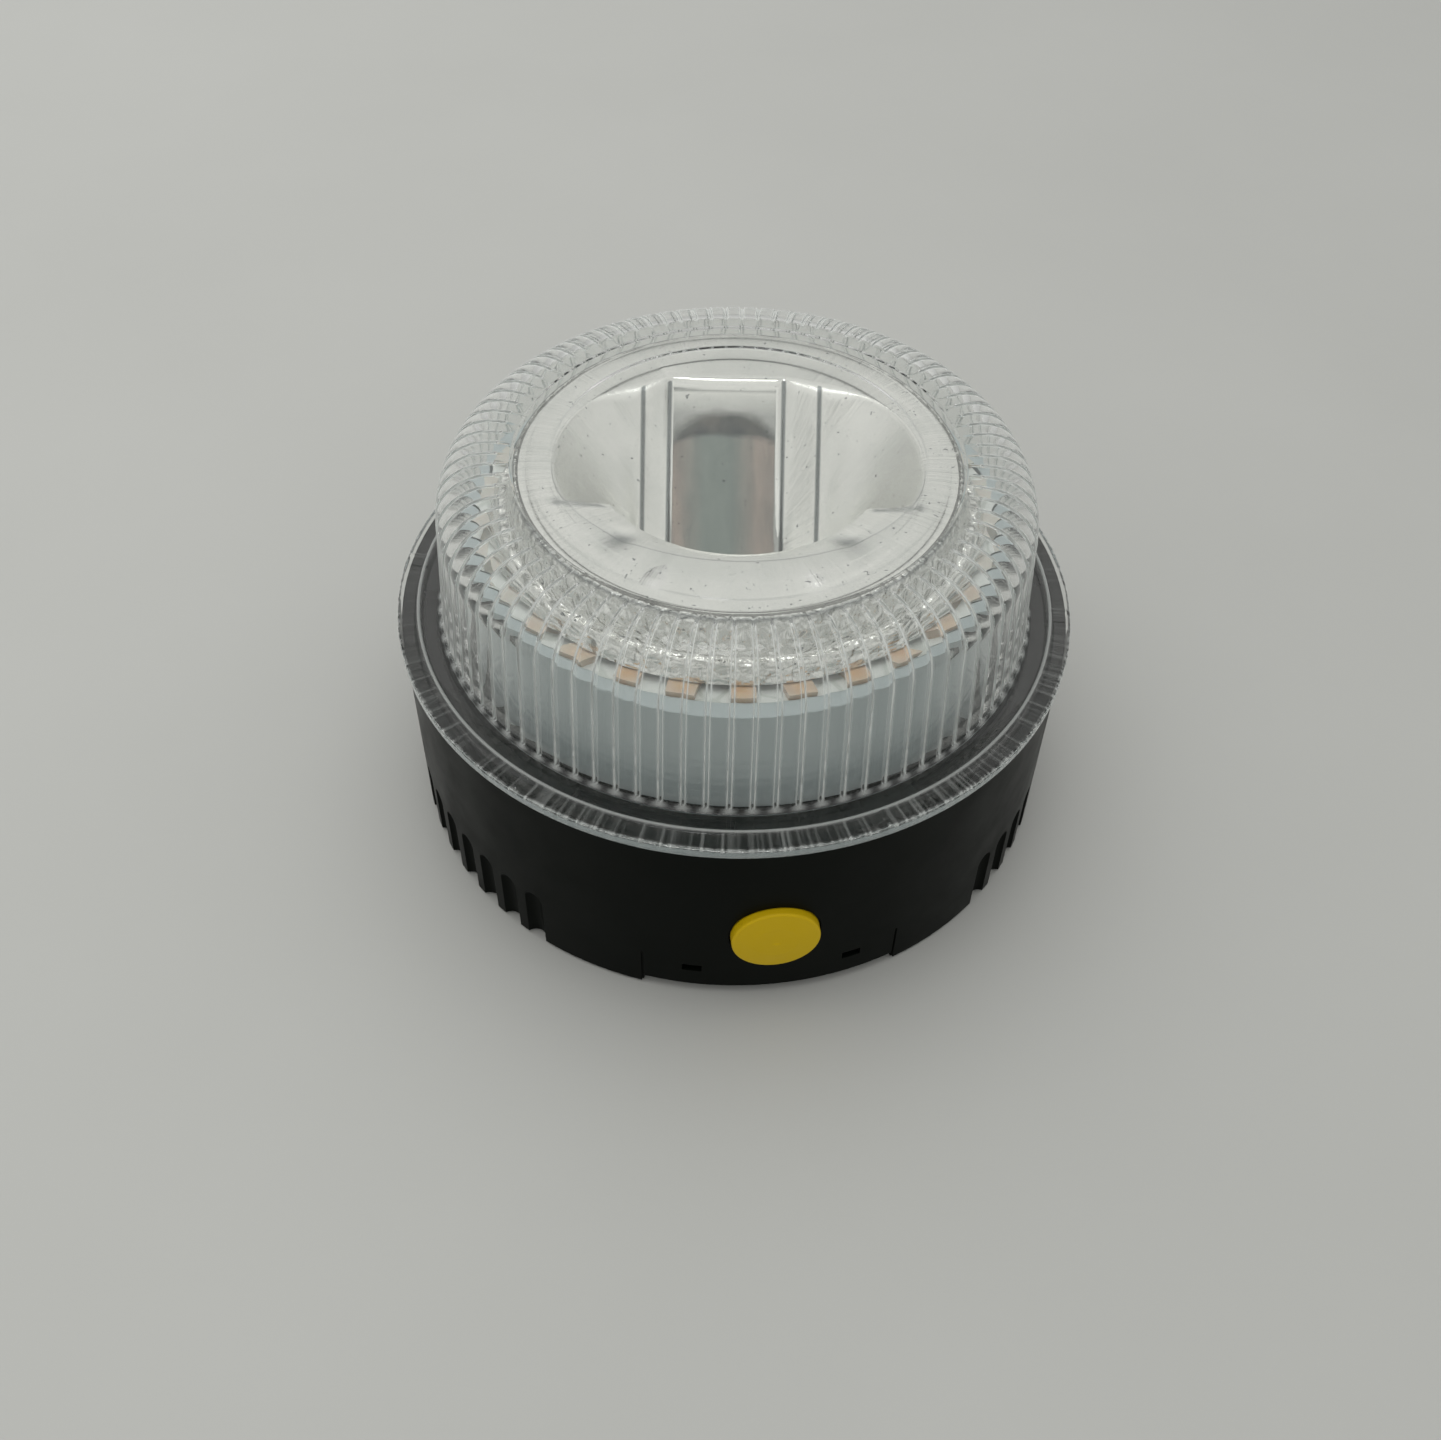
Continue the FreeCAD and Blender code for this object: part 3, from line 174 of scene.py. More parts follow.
def moulded_plastic(name, dark, light, roughness, grain=900.0, grain_depth=0.00002, coat=0.0, specular=0.5):
    """Moulded plastic: slow colour drift, a fine grain, uneven gloss and softened edges."""
    n = Nodes(name)
    drift = n.noise(35.0, 3.0)
    fine = n.noise(grain, 2.0)
    colour = n.mix(drift, as_colour(dark), as_colour(light))
    gloss = n.ramp(n.noise(120.0, 5.0), roughness - 0.06, roughness + 0.08, 0.3, 0.7)
    rounded = n.add("ShaderNodeBevel", {"Radius": EDGE_ROUND}, samples=4).outputs["Normal"]
    normal = n.bump(fine, grain_depth, 0.6, rounded)
    return n.finish(n.principled(Base_Color=colour, Roughness=gloss, Normal=normal, Coat_Weight=coat,
                                 Coat_Roughness=0.15, Specular_IOR_Level=specular))


def metal(name, colour, roughness):
    """Metal with fine streaks in its gloss and faint stains in its colour."""
    n = Nodes(name)
    stretched = n.add("ShaderNodeMapping", {"Vector": n.coordinates(), "Scale": METAL_STREAK})
    streaks = n.noise(6.0, 4.0, vector=stretched.outputs["Vector"])
    stained = n.ramp(n.noise(60.0, 5.0), tuple(c * 0.82 for c in colour), colour, 0.25, 0.6)
    gloss = n.ramp(streaks, roughness * 0.7, roughness * 1.3, 0.3, 0.7)
    normal = n.bump(streaks, 0.00001, 0.4)
    return n.finish(n.principled(Base_Color=stained, Metallic=1.0, Roughness=gloss, Normal=normal))


ACRYLIC_IOR = 1.49


def clear_plastic():
    """Clear moulded plastic, whiter at painted highlights and scuffs, with a painted sheen on the flutes at a
    grazing angle.

    Shadow and diffuse rays pass straight through, so that the inside is lit without caustics.
    """
    n = Nodes("clear_plastic")
    tint = n.ramp(n.noise(25.0, 2.0), (0.965, 0.972, 0.958), (0.985, 0.988, 0.976), 0.3, 0.7)
    # Painted highlights on the flutes, the bead, the ridge and the flange's edge, with scuffs on the flange:
    # whiter and rougher there.
    scuff_and_highlight = n.painted("scuff_and_highlight")
    uneven = n.ramp(n.noise(40.0, 2.0), 0.0, 0.04, 0.45, 0.9)
    gloss = n.math("ADD", uneven, n.math("MULTIPLY", scuff_and_highlight, 0.15))
    normal = n.bump(n.noise(160.0, 2.0, 0.4), 0.00004, 0.25)
    glass = n.principled(Base_Color=tint, Roughness=gloss, IOR=ACRYLIC_IOR, Transmission_Weight=1.0,
                         Normal=normal)
    white = n.add("ShaderNodeBsdfDiffuse", {"Color": (0.80, 0.82, 0.80, 1.0)}).outputs["BSDF"]
    # Painted sheen: on the flutes the plastic turns whiter at a grazing angle.
    facing = n.add("ShaderNodeLayerWeight", {"Blend": 0.5}).outputs["Facing"]
    grazing = n.ramp(facing, 0.0, 0.38, 0.45, 0.95)
    fluted = n.math("MINIMUM", n.math("MULTIPLY", scuff_and_highlight, 25.0), 1.0)
    scattered = n.math("ADD", n.math("MULTIPLY", scuff_and_highlight, 0.6), n.math("MULTIPLY", grazing, fluted))
    body = n.blend(n.math("MINIMUM", scattered, 0.8), glass, white)
    through = n.add("ShaderNodeBsdfTransparent", {"Color": (0.93, 0.95, 0.945, 1.0)}).outputs["BSDF"]
    path = n.add("ShaderNodeLightPath")
    passing = n.math("MAXIMUM", path.outputs["Is Shadow Ray"], path.outputs["Is Diffuse Ray"])
    return n.finish(n.blend(passing, body, through))


def plated_plastic():
    """Vacuum-plated plastic: a mirror with orange peel and pinholes.

    It is painted with three numbers: "haze" for a duller gloss with streaks round the axis, "crease" for
    painted shade and dark painted reflections on the plating, and "crinkle" for a wrinkled surface.
    """
    n = Nodes("plated_plastic")
    hazy = n.painted("haze")
    spots = n.ramp(n.noise(70.0, 5.0), 0.004, 0.03, 0.35, 0.8)
    gloss = n.math("ADD", spots, n.math("MULTIPLY", hazy, 0.2))
    colour = n.ramp(n.noise(110.0, 4.0), (0.83, 0.835, 0.81), (0.90, 0.90, 0.875), 0.3, 0.6)
    pinholes = n.ramp(n.noise(1600.0, 1.0), 0.0, 1.0, 0.72, 0.76)
    colour = n.mix(pinholes, colour, (0.35, 0.36, 0.36, 1.0))
    # Painted shade: the plating is mixed towards dark grey where "crease" is painted.
    colour = n.mix(n.painted("crease"), colour, (0.24, 0.26, 0.26, 1.0))
    peel = n.bump(n.noise(220.0, 2.0), 0.00003, 0.12)
    crinkled = n.math("MULTIPLY", n.noise(620.0, 2.0), n.painted("crinkle"))
    peel = n.bump(crinkled, 0.0014, 0.9, peel)
    x, y, z = n.split(n.coordinates())
    around = n.add("ShaderNodeCombineXYZ", {"X": n.math("ARCTAN2", y, x), "Z": z}).outputs["Vector"]
    streaks = n.math("MULTIPLY", n.noise(28.0, 5.0, 0.7, around), hazy)
    return n.finish(n.principled(Base_Color=colour, Metallic=1.0, Roughness=gloss,
                                 Normal=n.bump(streaks, 0.0004, 0.35, peel)))


# The ring of lamps, in metres.
LAMP_COUNT = 30
LAMP_CIRCLE = 0.0353
LENS_RADIUS, LENS_FADE = 0.0006, 0.0004
LIT_FROM, LIT_FULL = 0.016, 0.030


def amber_lens():
    """Pale lamp bodies, each with a round amber lens on top, painted more amber towards the front as a
    painted glow.
    """
    n = Nodes("amber_lens")
    x, y, _ = n.split(n.coordinates())
    from_axis = n.hypotenuse(x, y)
    from_lamp = n.math("PINGPONG", n.math("ARCTAN2", y, x), math.pi / LAMP_COUNT)
    along = n.math("MULTIPLY", from_lamp, from_axis)
    apart = n.hypotenuse(along, n.math("SUBTRACT", from_axis, LAMP_CIRCLE))
    # Painted glow: the lenses turn from mostly pale to amber towards the front.
    in_front = n.ramp(n.math("MULTIPLY", y, -1.0), 0.15, 0.85, LIT_FROM, LIT_FULL)
    on_lens = n.math("MULTIPLY", n.ramp(apart, 1.0, 0.0, LENS_RADIUS, LENS_RADIUS + LENS_FADE), in_front)
    pale = n.ramp(n.noise(500.0, 2.0), (0.50, 0.50, 0.47), (0.58, 0.57, 0.54), 0.35, 0.65)
    amber = n.ramp(n.noise(700.0, 2.0), (0.56, 0.30, 0.14), (0.62, 0.37, 0.17), 0.35, 0.65)
    body = n.mix(on_lens, pale, amber)
    return n.finish(n.principled(Base_Color=body, Roughness=0.25, Subsurface_Weight=0.2,
                                 Subsurface_Radius=(0.001, 0.0005, 0.0003), Coat_Weight=0.4))


def circuit_board():
    """Pale solder mask over tracks that stand a little proud."""
    n = Nodes("board")
    tracks = n.add("ShaderNodeTexVoronoi", {"Vector": n.coordinates(), "Scale": 260.0},
                   feature="DISTANCE_TO_EDGE")
    edge = n.ramp(tracks.outputs["Distance"], 1.0, 0.0, 0.03, 0.07)
    colour = n.mix(edge, (0.70, 0.71, 0.69, 1.0), (0.58, 0.60, 0.57, 1.0))
    return n.finish(n.principled(Base_Color=colour, Roughness=0.35, Normal=n.bump(edge, 0.00003, 0.5)))


def foam():
    """Dark open-celled foam."""
    n = Nodes("foam")
    cells = n.add("ShaderNodeTexVoronoi", {"Vector": n.coordinates(), "Scale": 1800.0})
    colour = n.ramp(cells.outputs["Distance"], (0.03, 0.03, 0.03), (0.12, 0.12, 0.12))
    normal = n.bump(cells.outputs["Distance"], 0.0002, 0.8)
    return n.finish(n.principled(Base_Color=colour, Roughness=0.95, Normal=normal))


FLOOR_FALLOFF_REACH = 0.2


def floor_material():
    """Pale matt sheet that only shows from above, so that the underside can be looked at from below."""
    n = Nodes("floor_sheet")
    colour = n.ramp(n.noise(9.0, 6.0), (0.436, 0.440, 0.422), (0.456, 0.460, 0.442), 0.3, 0.7)
    # Painted light falloff: the sheet is painted lighter on the left and darker on the right.
    across = n.split(n.coordinates())[0]
    colour = n.scaled(colour, n.ranged(across, 1.06, 0.93, -FLOOR_FALLOFF_REACH, FLOOR_FALLOFF_REACH))
    normal = n.bump(n.noise(900.0, 3.0), 0.00005, 0.25)
    sheet = n.principled(Base_Color=colour, Roughness=0.6, Normal=normal)
    from_below = n.add("ShaderNodeNewGeometry").outputs["Backfacing"]
    return n.finish(n.blend(from_below, sheet, n.add("ShaderNodeBsdfTransparent").outputs["BSDF"]))


# The card round the camera and the arch on it, in metres in the camera's own frame. The arch's rim is dark;
# inside it a plain upright band stands between two paler sides.
CARD_HALF, CARD_AHEAD = 0.034, 0.004
CARD_LOW, CARD_TOP = -0.11, 0.095
ARCH_X, ARCH_TOP = 0.0027, 0.0662
ARCH_HALF = 0.016
ARCH_RISE, INNER_RISE = 0.0118, 0.0053
INNER_DROP = 0.0054
ARCH_BLUR, BAND_BLUR = 0.0002, 0.0008
PALE_FROM, PALE_FULL = 0.0005, 0.0075
BAND_X, BAND_HALF = -0.0021, 0.0079


def inside_arch(n, x, y, top, rise):
    """1 below a round-topped outline of the arch's width that peaks at top, 0 beyond it."""
    above = n.math("MAXIMUM", n.math("SUBTRACT", y, top - rise), 0.0)
    reach = n.hypotenuse(x, n.math("MULTIPLY", above, ARCH_HALF / rise))
    return n.ramp(reach, 1.0, 0.0, ARCH_HALF - ARCH_BLUR, ARCH_HALF + ARCH_BLUR)


def card_material():
    """A pale board with a dark round-topped arch on it, which glows so that it needs no light of its own."""
    n = Nodes("dark_card")
    across, y, _ = n.split(n.coordinates())
    x = n.math("SUBTRACT", across, ARCH_X)
    from_band = n.math("ABSOLUTE", n.math("SUBTRACT", x, BAND_X))
    upright = n.add("ShaderNodeMapping", {"Vector": n.coordinates(), "Scale": (1.0, 0.15, 1.0)})
    streaks = n.noise(260.0, 2.0, vector=upright.outputs["Vector"])
    beside = n.ramp(from_band, 0.0, 1.0, BAND_HALF - BAND_BLUR, BAND_HALF + BAND_BLUR)
    middle = n.ramp(streaks, (0.145, 0.18, 0.17), (0.175, 0.21, 0.195), 0.35, 0.65)
    sides = n.ramp(streaks, (0.20, 0.18, 0.165), (0.31, 0.26, 0.23), 0.35, 0.65)
    rim = n.ramp(n.noise(150.0, 3.0), (0.03, 0.04, 0.045), (0.09, 0.085, 0.08), 0.35, 0.65)
    inner = n.mix(beside, middle, sides)
    arch = n.mix(inside_arch(n, x, y, ARCH_TOP - INNER_DROP, INNER_RISE), rim, inner)
    pale = n.ramp(y, (0.36, 0.37, 0.36), (0.74, 0.74, 0.72), ARCH_TOP + PALE_FROM, ARCH_TOP + PALE_FULL)
    colour = n.mix(inside_arch(n, x, y, ARCH_TOP, ARCH_RISE), pale, arch)
    return n.finish(n.add("ShaderNodeEmission", {"Color": colour, "Strength": 1.0}).outputs[0])


MATERIALS = {
    "black_plastic": moulded_plastic("black_plastic", (0.0015, 0.0025, 0.0015), (0.003, 0.004, 0.003),
                                     0.34, grain_depth=0.000005, specular=0.05),
    "clear_plastic": clear_plastic(),
    "black_rubber": moulded_plastic("black_rubber", (0.012, 0.012, 0.012), (0.02, 0.02, 0.02), 0.75,
                                    1500.0),
    "grey_plastic": moulded_plastic("grey_plastic", (0.36, 0.40, 0.41), (0.41, 0.45, 0.46), 0.42),
    "board": circuit_board(),
    "amber_lens": amber_lens(),
    "plated_plastic": plated_plastic(),
    "yellow_plastic": moulded_plastic("yellow_plastic", (0.60, 0.405, 0.002), (0.65, 0.44, 0.003), 0.48,
                                      1200.0, specular=0.2),
    "dark_plastic": moulded_plastic("dark_plastic", (0.02, 0.02, 0.02), (0.035, 0.035, 0.035), 0.5),
    "bare_aluminium": metal("bare_aluminium", (0.72, 0.72, 0.71), 0.3),
    "painted_steel": moulded_plastic("painted_steel", (0.02, 0.03, 0.08), (0.03, 0.045, 0.11), 0.3,
                                     coat=0.5),
    "steel": metal("steel", (0.58, 0.57, 0.55), 0.32),
    "red_sleeve": moulded_plastic("red_sleeve", (0.45, 0.02, 0.015), (0.55, 0.03, 0.02), 0.4),
    "black_sleeve": moulded_plastic("black_sleeve", (0.015, 0.015, 0.015), (0.025, 0.025, 0.025), 0.4),
    "brass_insert": metal("brass_insert", (0.72, 0.53, 0.24), 0.28),
    "plated_magnet": metal("plated_magnet", (0.68, 0.68, 0.66), 0.16),
    "foam": foam(),
}


def finish_cad_nodes():
    """Give every CAD node the material that its slot in the record names."""
    slots = {part["node"]: part["material_slot"] for part in frame["record"]["subparts"]}
    for name, node in frame["nodes"].items():
        node.data.materials.clear()
        node.data.materials.append(MATERIALS[slots[name]])


# ---- mesh helpers ----


def mesh_object(name, vertices, faces, material):
    """A new mesh that rides on the beacon and shows under the material's slot."""
    mesh = bpy.data.meshes.new(name)
    mesh.from_pydata([tuple(v) for v in vertices], [], [tuple(f) for f in faces])
    mesh.validate()
    mesh.update()
    piece = bpy.data.objects.new(name, mesh)
    bpy.context.scene.collection.objects.link(piece)
    mesh.materials.append(MATERIALS[material])
    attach(piece, "beacon")
    return piece


def shade_smooth(piece, angle):
    """Smooth shading with edges steeper than the angle kept sharp."""
    mesh = piece.data
    mesh.shade_smooth()
    mesh.set_sharp_from_angle(angle=math.radians(angle))


def paint(piece, name, values):
    """Store one number per vertex for the piece's material to read."""
    layer = piece.data.attributes.new(name, "FLOAT", "POINT")
    layer.data.foreach_set("value", np.asarray(values, dtype=np.float32))


def ring_faces(rows, columns):
    """Quads of a grid whose columns close round the axis."""
    faces = []
    for i in range(rows - 1):
        below, above = i * columns, (i + 1) * columns
        for j in range(columns):
            k = (j + 1) % columns
            faces.append((below + j, below + k, above + k, above + j))
    return faces


def arc_points(centre, radius, start, end, steps):
    """Points of an arc in the radius and height plane, angles in degrees from outward."""
    angles = np.radians(np.linspace(start, end, steps))
    return [(centre[0] + radius * math.cos(a), centre[1] + radius * math.sin(a)) for a in angles]


# ---- clear dome ----

FLUTES = 90
FLUTE_DEPTH = 0.26
CROWN, CORNER_CROWN = 0.015, 7.0
WALL_RADIUS, FOOT_RADIUS = 42.3, 43.45
SHOULDER = 7.8
WALL = 2.2
BEAD = (43.5, 43.9)
RIM_GROOVE, RIM_RIDGE, RIM_EDGE = 46.7, 47.1, 49.5
RIB_REACH = (47.1, 49.7)
RIB_ANGLE = FRONT + math.radians(16.9)
RIB_HEIGHT, RIB_HALF, RIB_FADE = 0.25, math.radians(0.45), math.radians(0.2)
FLASH_LIFT = 0.6
SCUFF_WAVES = ((11, 0.9, 0.25), (37, 2.4, 0.25), (83, 5.0, 0.3), (149, 1.3, 0.4), (241, 3.3, 0.5),
               (353, 0.6, 0.5), (467, 2.8, 0.5))
FLASH_WAVES = ((7, 0.4), (19, 1.9), (43, 0.2), (91, 2.2), (157, 4.0), (233, 1.1), (331, 5.2))


def dome_outline():
    """The dome's closed outline as (radius, height, flute share), from the top centre out and back inside."""
    top, foot, edge = DOME_TOP, FLANGE_TOP, FLANGE_RADIUS
    # The top window with its two raised rings.
    outline = [(0.0, top - 0.2, 0), (12.0, top - 0.2, 0), (22.0, top - 0.2, 0), (25.7, top - 0.2, 0)]
    outline += [(25.9, top - 0.17, 0), (26.05, top - 0.03, 0), (26.3, top, 0), (28.7, top, 0)]
    outline += [(28.95, top - 0.03, 0), (29.1, top - 0.15, 0), (29.3, top - 0.18, 0), (31.0, top - 0.18, 0)]
    outline += [(31.15, top - 0.15, 0), (31.3, top - 0.03, 0), (31.55, top, 0), (33.1, top, 0)]
    # The fluted shoulder and wall.
    outline += [(33.4, top, 0.35), (33.7, top, 1)]
    centre = (WALL_RADIUS - SHOULDER, top - SHOULDER)
    outline += [(r, z, 1) for r, z in arc_points(centre, SHOULDER, 90, 0, 26)]
    for share in (0.25, 0.5, 0.75, 0.85):
        height = (top - SHOULDER) + (foot + 0.9 - (top - SHOULDER)) * share
        outline.append((WALL_RADIUS + (FOOT_RADIUS - WALL_RADIUS) * share, height, 1))
    outline += [(43.4, foot + 1.6, 1.2), (FOOT_RADIUS, foot + 0.95, 1.3), (43.5, foot + 0.62, 1.0)]
    # The flange with its bead, its low ridge and its rounded edge.
    outline += [(43.6, foot + 0.45, 0), (43.8, foot + 0.12, 0), (44.2, foot, 0), (46.4, foot, 0)]
    outline += [(46.6, foot + 0.05, 0), (46.75, foot + 0.27, 0), (46.9, foot + 0.3, 0)]
    outline += [(47.05, foot + 0.27, 0), (47.2, foot + 0.05, 0), (47.4, foot, 0), (48.3, foot, 0)]
    outline += [(49.3, foot, 0), (49.45, foot, 0)]
    outline += [(r, z, 0) for r, z in arc_points((edge - 0.4, foot - 0.4), 0.4, 80, 0, 5)]
    # The flange's underside, the spigot below it and the smooth inside.
    underside = FLANGE_BOTTOM + 0.05
    outline += [(edge, underside + 0.25, 0), (edge - 0.08, underside + 0.08, 0)]
    outline += [(edge - 0.25, underside, 0), (46.0, underside, 0), (43.3, underside, 0)]
    outline += [(43.2, FLANGE_BOTTOM - 0.1, 0), (43.2, SPIGOT_BOTTOM + 0.2, 0), (43.0, SPIGOT_BOTTOM, 0)]
    outline += [(41.5, SPIGOT_BOTTOM, 0), (41.3, SPIGOT_BOTTOM + 0.2, 0), (41.2, FLANGE_BOTTOM, 0)]
    inner = SHOULDER - WALL
    outline += [(40.7, foot + 6.0, 0), (40.1, top - SHOULDER, 0)]
    outline += [(r, z, 0) for r, z in arc_points((40.1 - inner, top - SHOULDER), inner, 8, 90, 14)]
    outline += [(30.0, top - WALL, 0), (20.0, top - WALL, 0), (10.0, top - WALL, 0), (0.0, top - WALL, 0)]
    return outline


def flute_profile():
    """Columns of one flute, as (share of the pitch, share of the groove's depth, painted highlight, crown).
    """
    edge, bottom = 0.115, 0.075
    middle = (edge + bottom) / 2
    columns = [(-edge, 0.0, 0.5, 1.0), (-middle, 0.5, 1.0, 1.0), (-bottom, 1.0, 0.6, 1.0)]
    columns += [(0.0, 1.0, 0.05, 1.0)]
    columns += [(bottom, 1.0, 0.6, 1.0), (middle, 0.5, 1.0, 1.0), (edge, 0.0, 0.5, 1.0)]
    for share in (0.2, 0.3, 0.4, 0.5, 0.6, 0.7, 0.8):
        across = (share - 0.5) / (0.5 - edge)
        columns.append((share, 0.0, 0.05, across * across))
    return columns


def rib_heights(angles):
    """How much the six little radial ribs raise the flange at each angle."""
    from_rib = np.abs((angles - RIB_ANGLE + math.pi / 6) % (math.pi / 3) - math.pi / 6)
    return RIB_HEIGHT * np.clip((RIB_HALF - from_rib) / RIB_FADE, 0.0, 1.0)


def frontness(angles):
    """1 at the front, 0 at the back."""
    return 0.5 - 0.5 * np.sin(angles)


def weld_flash(angles):
    """Uneven squeezed-out plastic along the flange's rim, thicker at the front."""
    wave = sum(np.sin(angles * rate + phase) / (i + 1.5) for i, (rate, phase) in enumerate(FLASH_WAVES))
    return np.clip(wave * (0.03 + 0.07 * frontness(angles)), -0.04, 0.14)


def flange_scuffs_and_highlights(angles, radius, height):
    """How white the flange is painted: a painted highlight along the bead and the ridge, a scuffed edge, and
    short scuffs inside it in front.
    """
    if BEAD[0] < radius < BEAD[1] and height > FLANGE_TOP:
        return 0.25 - 0.25 * np.cos(angles * FLUTES)
    if height < FLANGE_BOTTOM + 0.2 or radius < RIM_GROOVE:
        return np.zeros(len(angles))
    if radius < RIM_RIDGE:
        return np.full(len(angles), 0.5)
    front = frontness(angles)
    wave = sum(np.sin(angles * rate + phase) * size for rate, phase, size in SCUFF_WAVES)
    if radius < RIM_EDGE:
        return np.clip(0.2 * wave - 0.03, 0.0, 0.25) * front ** 2
    # Painted highlight: the edge's top is painted far whiter than its side.
    strength = 0.7 if height > FLANGE_TOP - 0.3 else 0.08
    return np.clip(0.3 + 0.5 * wave, 0.0, 1.0) * (0.35 + 0.65 * front) * strength


def flute_columns():
    """The angle, groove depth, painted highlight and crown of every column round the dome, starting at the
    front.
    """
    pitch = 2 * math.pi / FLUTES
    columns = [((i + share) * pitch, depth, highlight_level, crown) for i in range(FLUTES)
               for share, depth, highlight_level, crown in flute_profile()]
    angles, depths, highlight_levels, crowns = np.array(columns).T
    return angles + FRONT, depths, highlight_levels, crowns


def dome_ring(place, before, after, angles, grooves):
    """One ring of the dome's skin: the outline's point pushed in by the flutes, and out by ribs and flash."""
    radius, height, share = place
    depths, crowns = grooves
    along = Vector((after[0] - before[0], after[1] - before[1])).normalized()
    outward = Vector((-along.y, along.x))
    bend = 1.0 + CORNER_CROWN * abs(outward.x * outward.y)
    drops = share * (FLUTE_DEPTH * depths + CROWN * bend * crowns)
    moved_r = radius - drops * abs(outward.x)
    moved_z = height - drops * abs(outward.y)
    if RIB_REACH[0] < radius < RIB_REACH[1] and height >= FLANGE_TOP:
        moved_z = moved_z + rib_heights(angles)
    if radius > FLANGE_RADIUS - 0.5 and height > FLANGE_BOTTOM + 0.3:
        flash = weld_flash(angles)
        moved_r, moved_z = moved_r + flash, moved_z + FLASH_LIFT * flash
    return np.stack([moved_r * np.cos(angles), moved_r * np.sin(angles), moved_z], 1)


def build_dome():
    """The dome as one closed skin of rings between a point at the top centre and one inside below it."""
    outline = dome_outline()
    angles, depths, highlight_levels, crowns = flute_columns()
    count, rows = len(angles), outline[1:-1]
    rings = [dome_ring(place, outline[i], outline[i + 2], angles, (depths, crowns))
             for i, place in enumerate(rows)]
    # The flutes' painted highlights, and the flange's scuffs and painted highlights, for the plastic to turn
    # whiter.
    scuff_and_highlight = [share * highlight_levels if share else flange_scuffs_and_highlights(angles, radius, height)
             for radius, height, share in rows]
    poles = [[0, 0, outline[0][1]], [0, 0, outline[-1][1]]]
    points = np.concatenate(rings + [poles]) * MM
    faces = ring_faces(len(rows), count)
    top, last = len(rows) * count, (len(rows) - 1) * count
    for j in range(count):
        k = (j + 1) % count
        faces.append((top, k, j))
        faces.append((top + 1, last + j, last + k))
    dome = mesh_object("dome_moulding", points, [f[::-1] for f in faces], "clear_plastic")
    paint(dome, "scuff_and_highlight", np.concatenate(scuff_and_highlight + [[0.0, 0.0]]))
    shade_smooth(dome, 50.0)
    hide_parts("clear_dome")


# ---- reflector ----

MOUTH = (26.2, 20.6)
SQUARER = 2.4
FLOOR = (15.0, 1.6)
BOWL_FLOOR = 37.6
LAND_DROP = 0.05
# Painted shade: how much darker the land and the line along the outer rim are painted.
LAND_GREY = 0.09
SKIRT_DARK, OUTER_RIM = 0.75, 31.2
WRINKLED_RINGS, MARKED_LIP = 11, 5
REFLECTOR_WALL = 1.2
CREASES = (-13.9, -10.1, 6.7, 11.9)
WALL_TOP = (15.4, 18.3, 18.3, 16.4)
WALL_FOOT = (0.6, 1.3, 1.3, 1.0)
CREASE_DEPTH, CREASE_HALF, CREASE_FLAT = 0.25, 0.45, 0.17
BACK_DROP = 1.27
BACK_SLOPE = 1.12
LOBE_DROP = 0.6
BAND_DROP = 0.45
BAND_START = (math.radians(-20.5), math.radians(-21.5))
BAND_EDGE = (19.5, 18.6)
LIP_SHARES = (0.0, 0.05, 0.1, 0.2, 0.33, 0.46, 0.6, 0.74, 0.88, 1.0)
LIP_SIDES = (17.5, 25.5)
WALL_SHARES = (0.015, 0.05, 0.1, 0.16, 0.23, 0.3, 0.38, 0.46, 0.54, 0.62, 0.7, 0.78, 0.86, 0.93, 1.0)
DIMPLES = ((-15.2, -16.1, 1.7, -0.5), (14.3, -15.8, 1.7, -0.5),
           (-10.8, -24.4, 1.5, 0.3), (9.6, -23.7, 1.5, 0.3))


def ease(share):
    """A share from 0 to 1 with a soft start and a soft end."""
    share = min(1.0, max(0.0, share))
    return share * share * (3 - 2 * share)


def mouth_at(angle):
    """The mouth's edge at an angle: an ellipse, a little squarer at the back."""
    power = SQUARER if angle > 0 else 2.0
    reach = abs(math.cos(angle) / MOUTH[0]) ** power + abs(math.sin(angle) / MOUTH[1]) ** power
    radius = reach ** (-1 / power)
    return Vector((radius * math.cos(angle), radius * math.sin(angle)))


def far_edge(x):
    """How far the mouth's squarer far edge stands from the long axis at x."""
    return MOUTH[1] * max(0.0, 1.0 - abs(x / MOUTH[0]) ** SQUARER) ** (1 / SQUARER)


class Column:
    """One line down the bowl, from the mouth over the lip and the wall to the floor.

    drop is how far the lip falls before the wall starts, and power how suddenly. crease is 1 in the bottom of
    a crease, lobe 1 where the wall starts shallow, and haze 1 where the plating is dull.
    """

    def __init__(self, mouth, wall, drop, floor, crease=0.0, lobe=0.0, haze=1.0, power=2.0):
        self.mouth, self.wall, self.floor = Vector(mouth), Vector(wall), Vector(floor)
        self.drop, self.power = drop, power
        self.crease, self.lobe, self.haze = crease, lobe, haze
        self.angle = math.atan2(self.mouth.y, self.mouth.x)
        self.start = REFLECTOR_TOP - LAND_DROP - drop

    def lip(self, share):
        """A point between the mouth's edge and the top of the wall."""
        place = self.mouth.lerp(self.wall, share)
        place.y += self.crease * CREASE_DEPTH * share
        return (*place, REFLECTOR_TOP - LAND_DROP - self.drop * share ** self.power)

    def down(self, share):
        """A point between the top of the wall and the floor; lobes are shallow at first."""
        place = self.wall.lerp(self.floor, share)
        place.y += self.crease * CREASE_DEPTH * (1.0 - share)
        fall = share + self.lobe * 0.25 * (share ** 3 - share)
        return (*place, self.start - (self.start - BOWL_FLOOR) * fall)


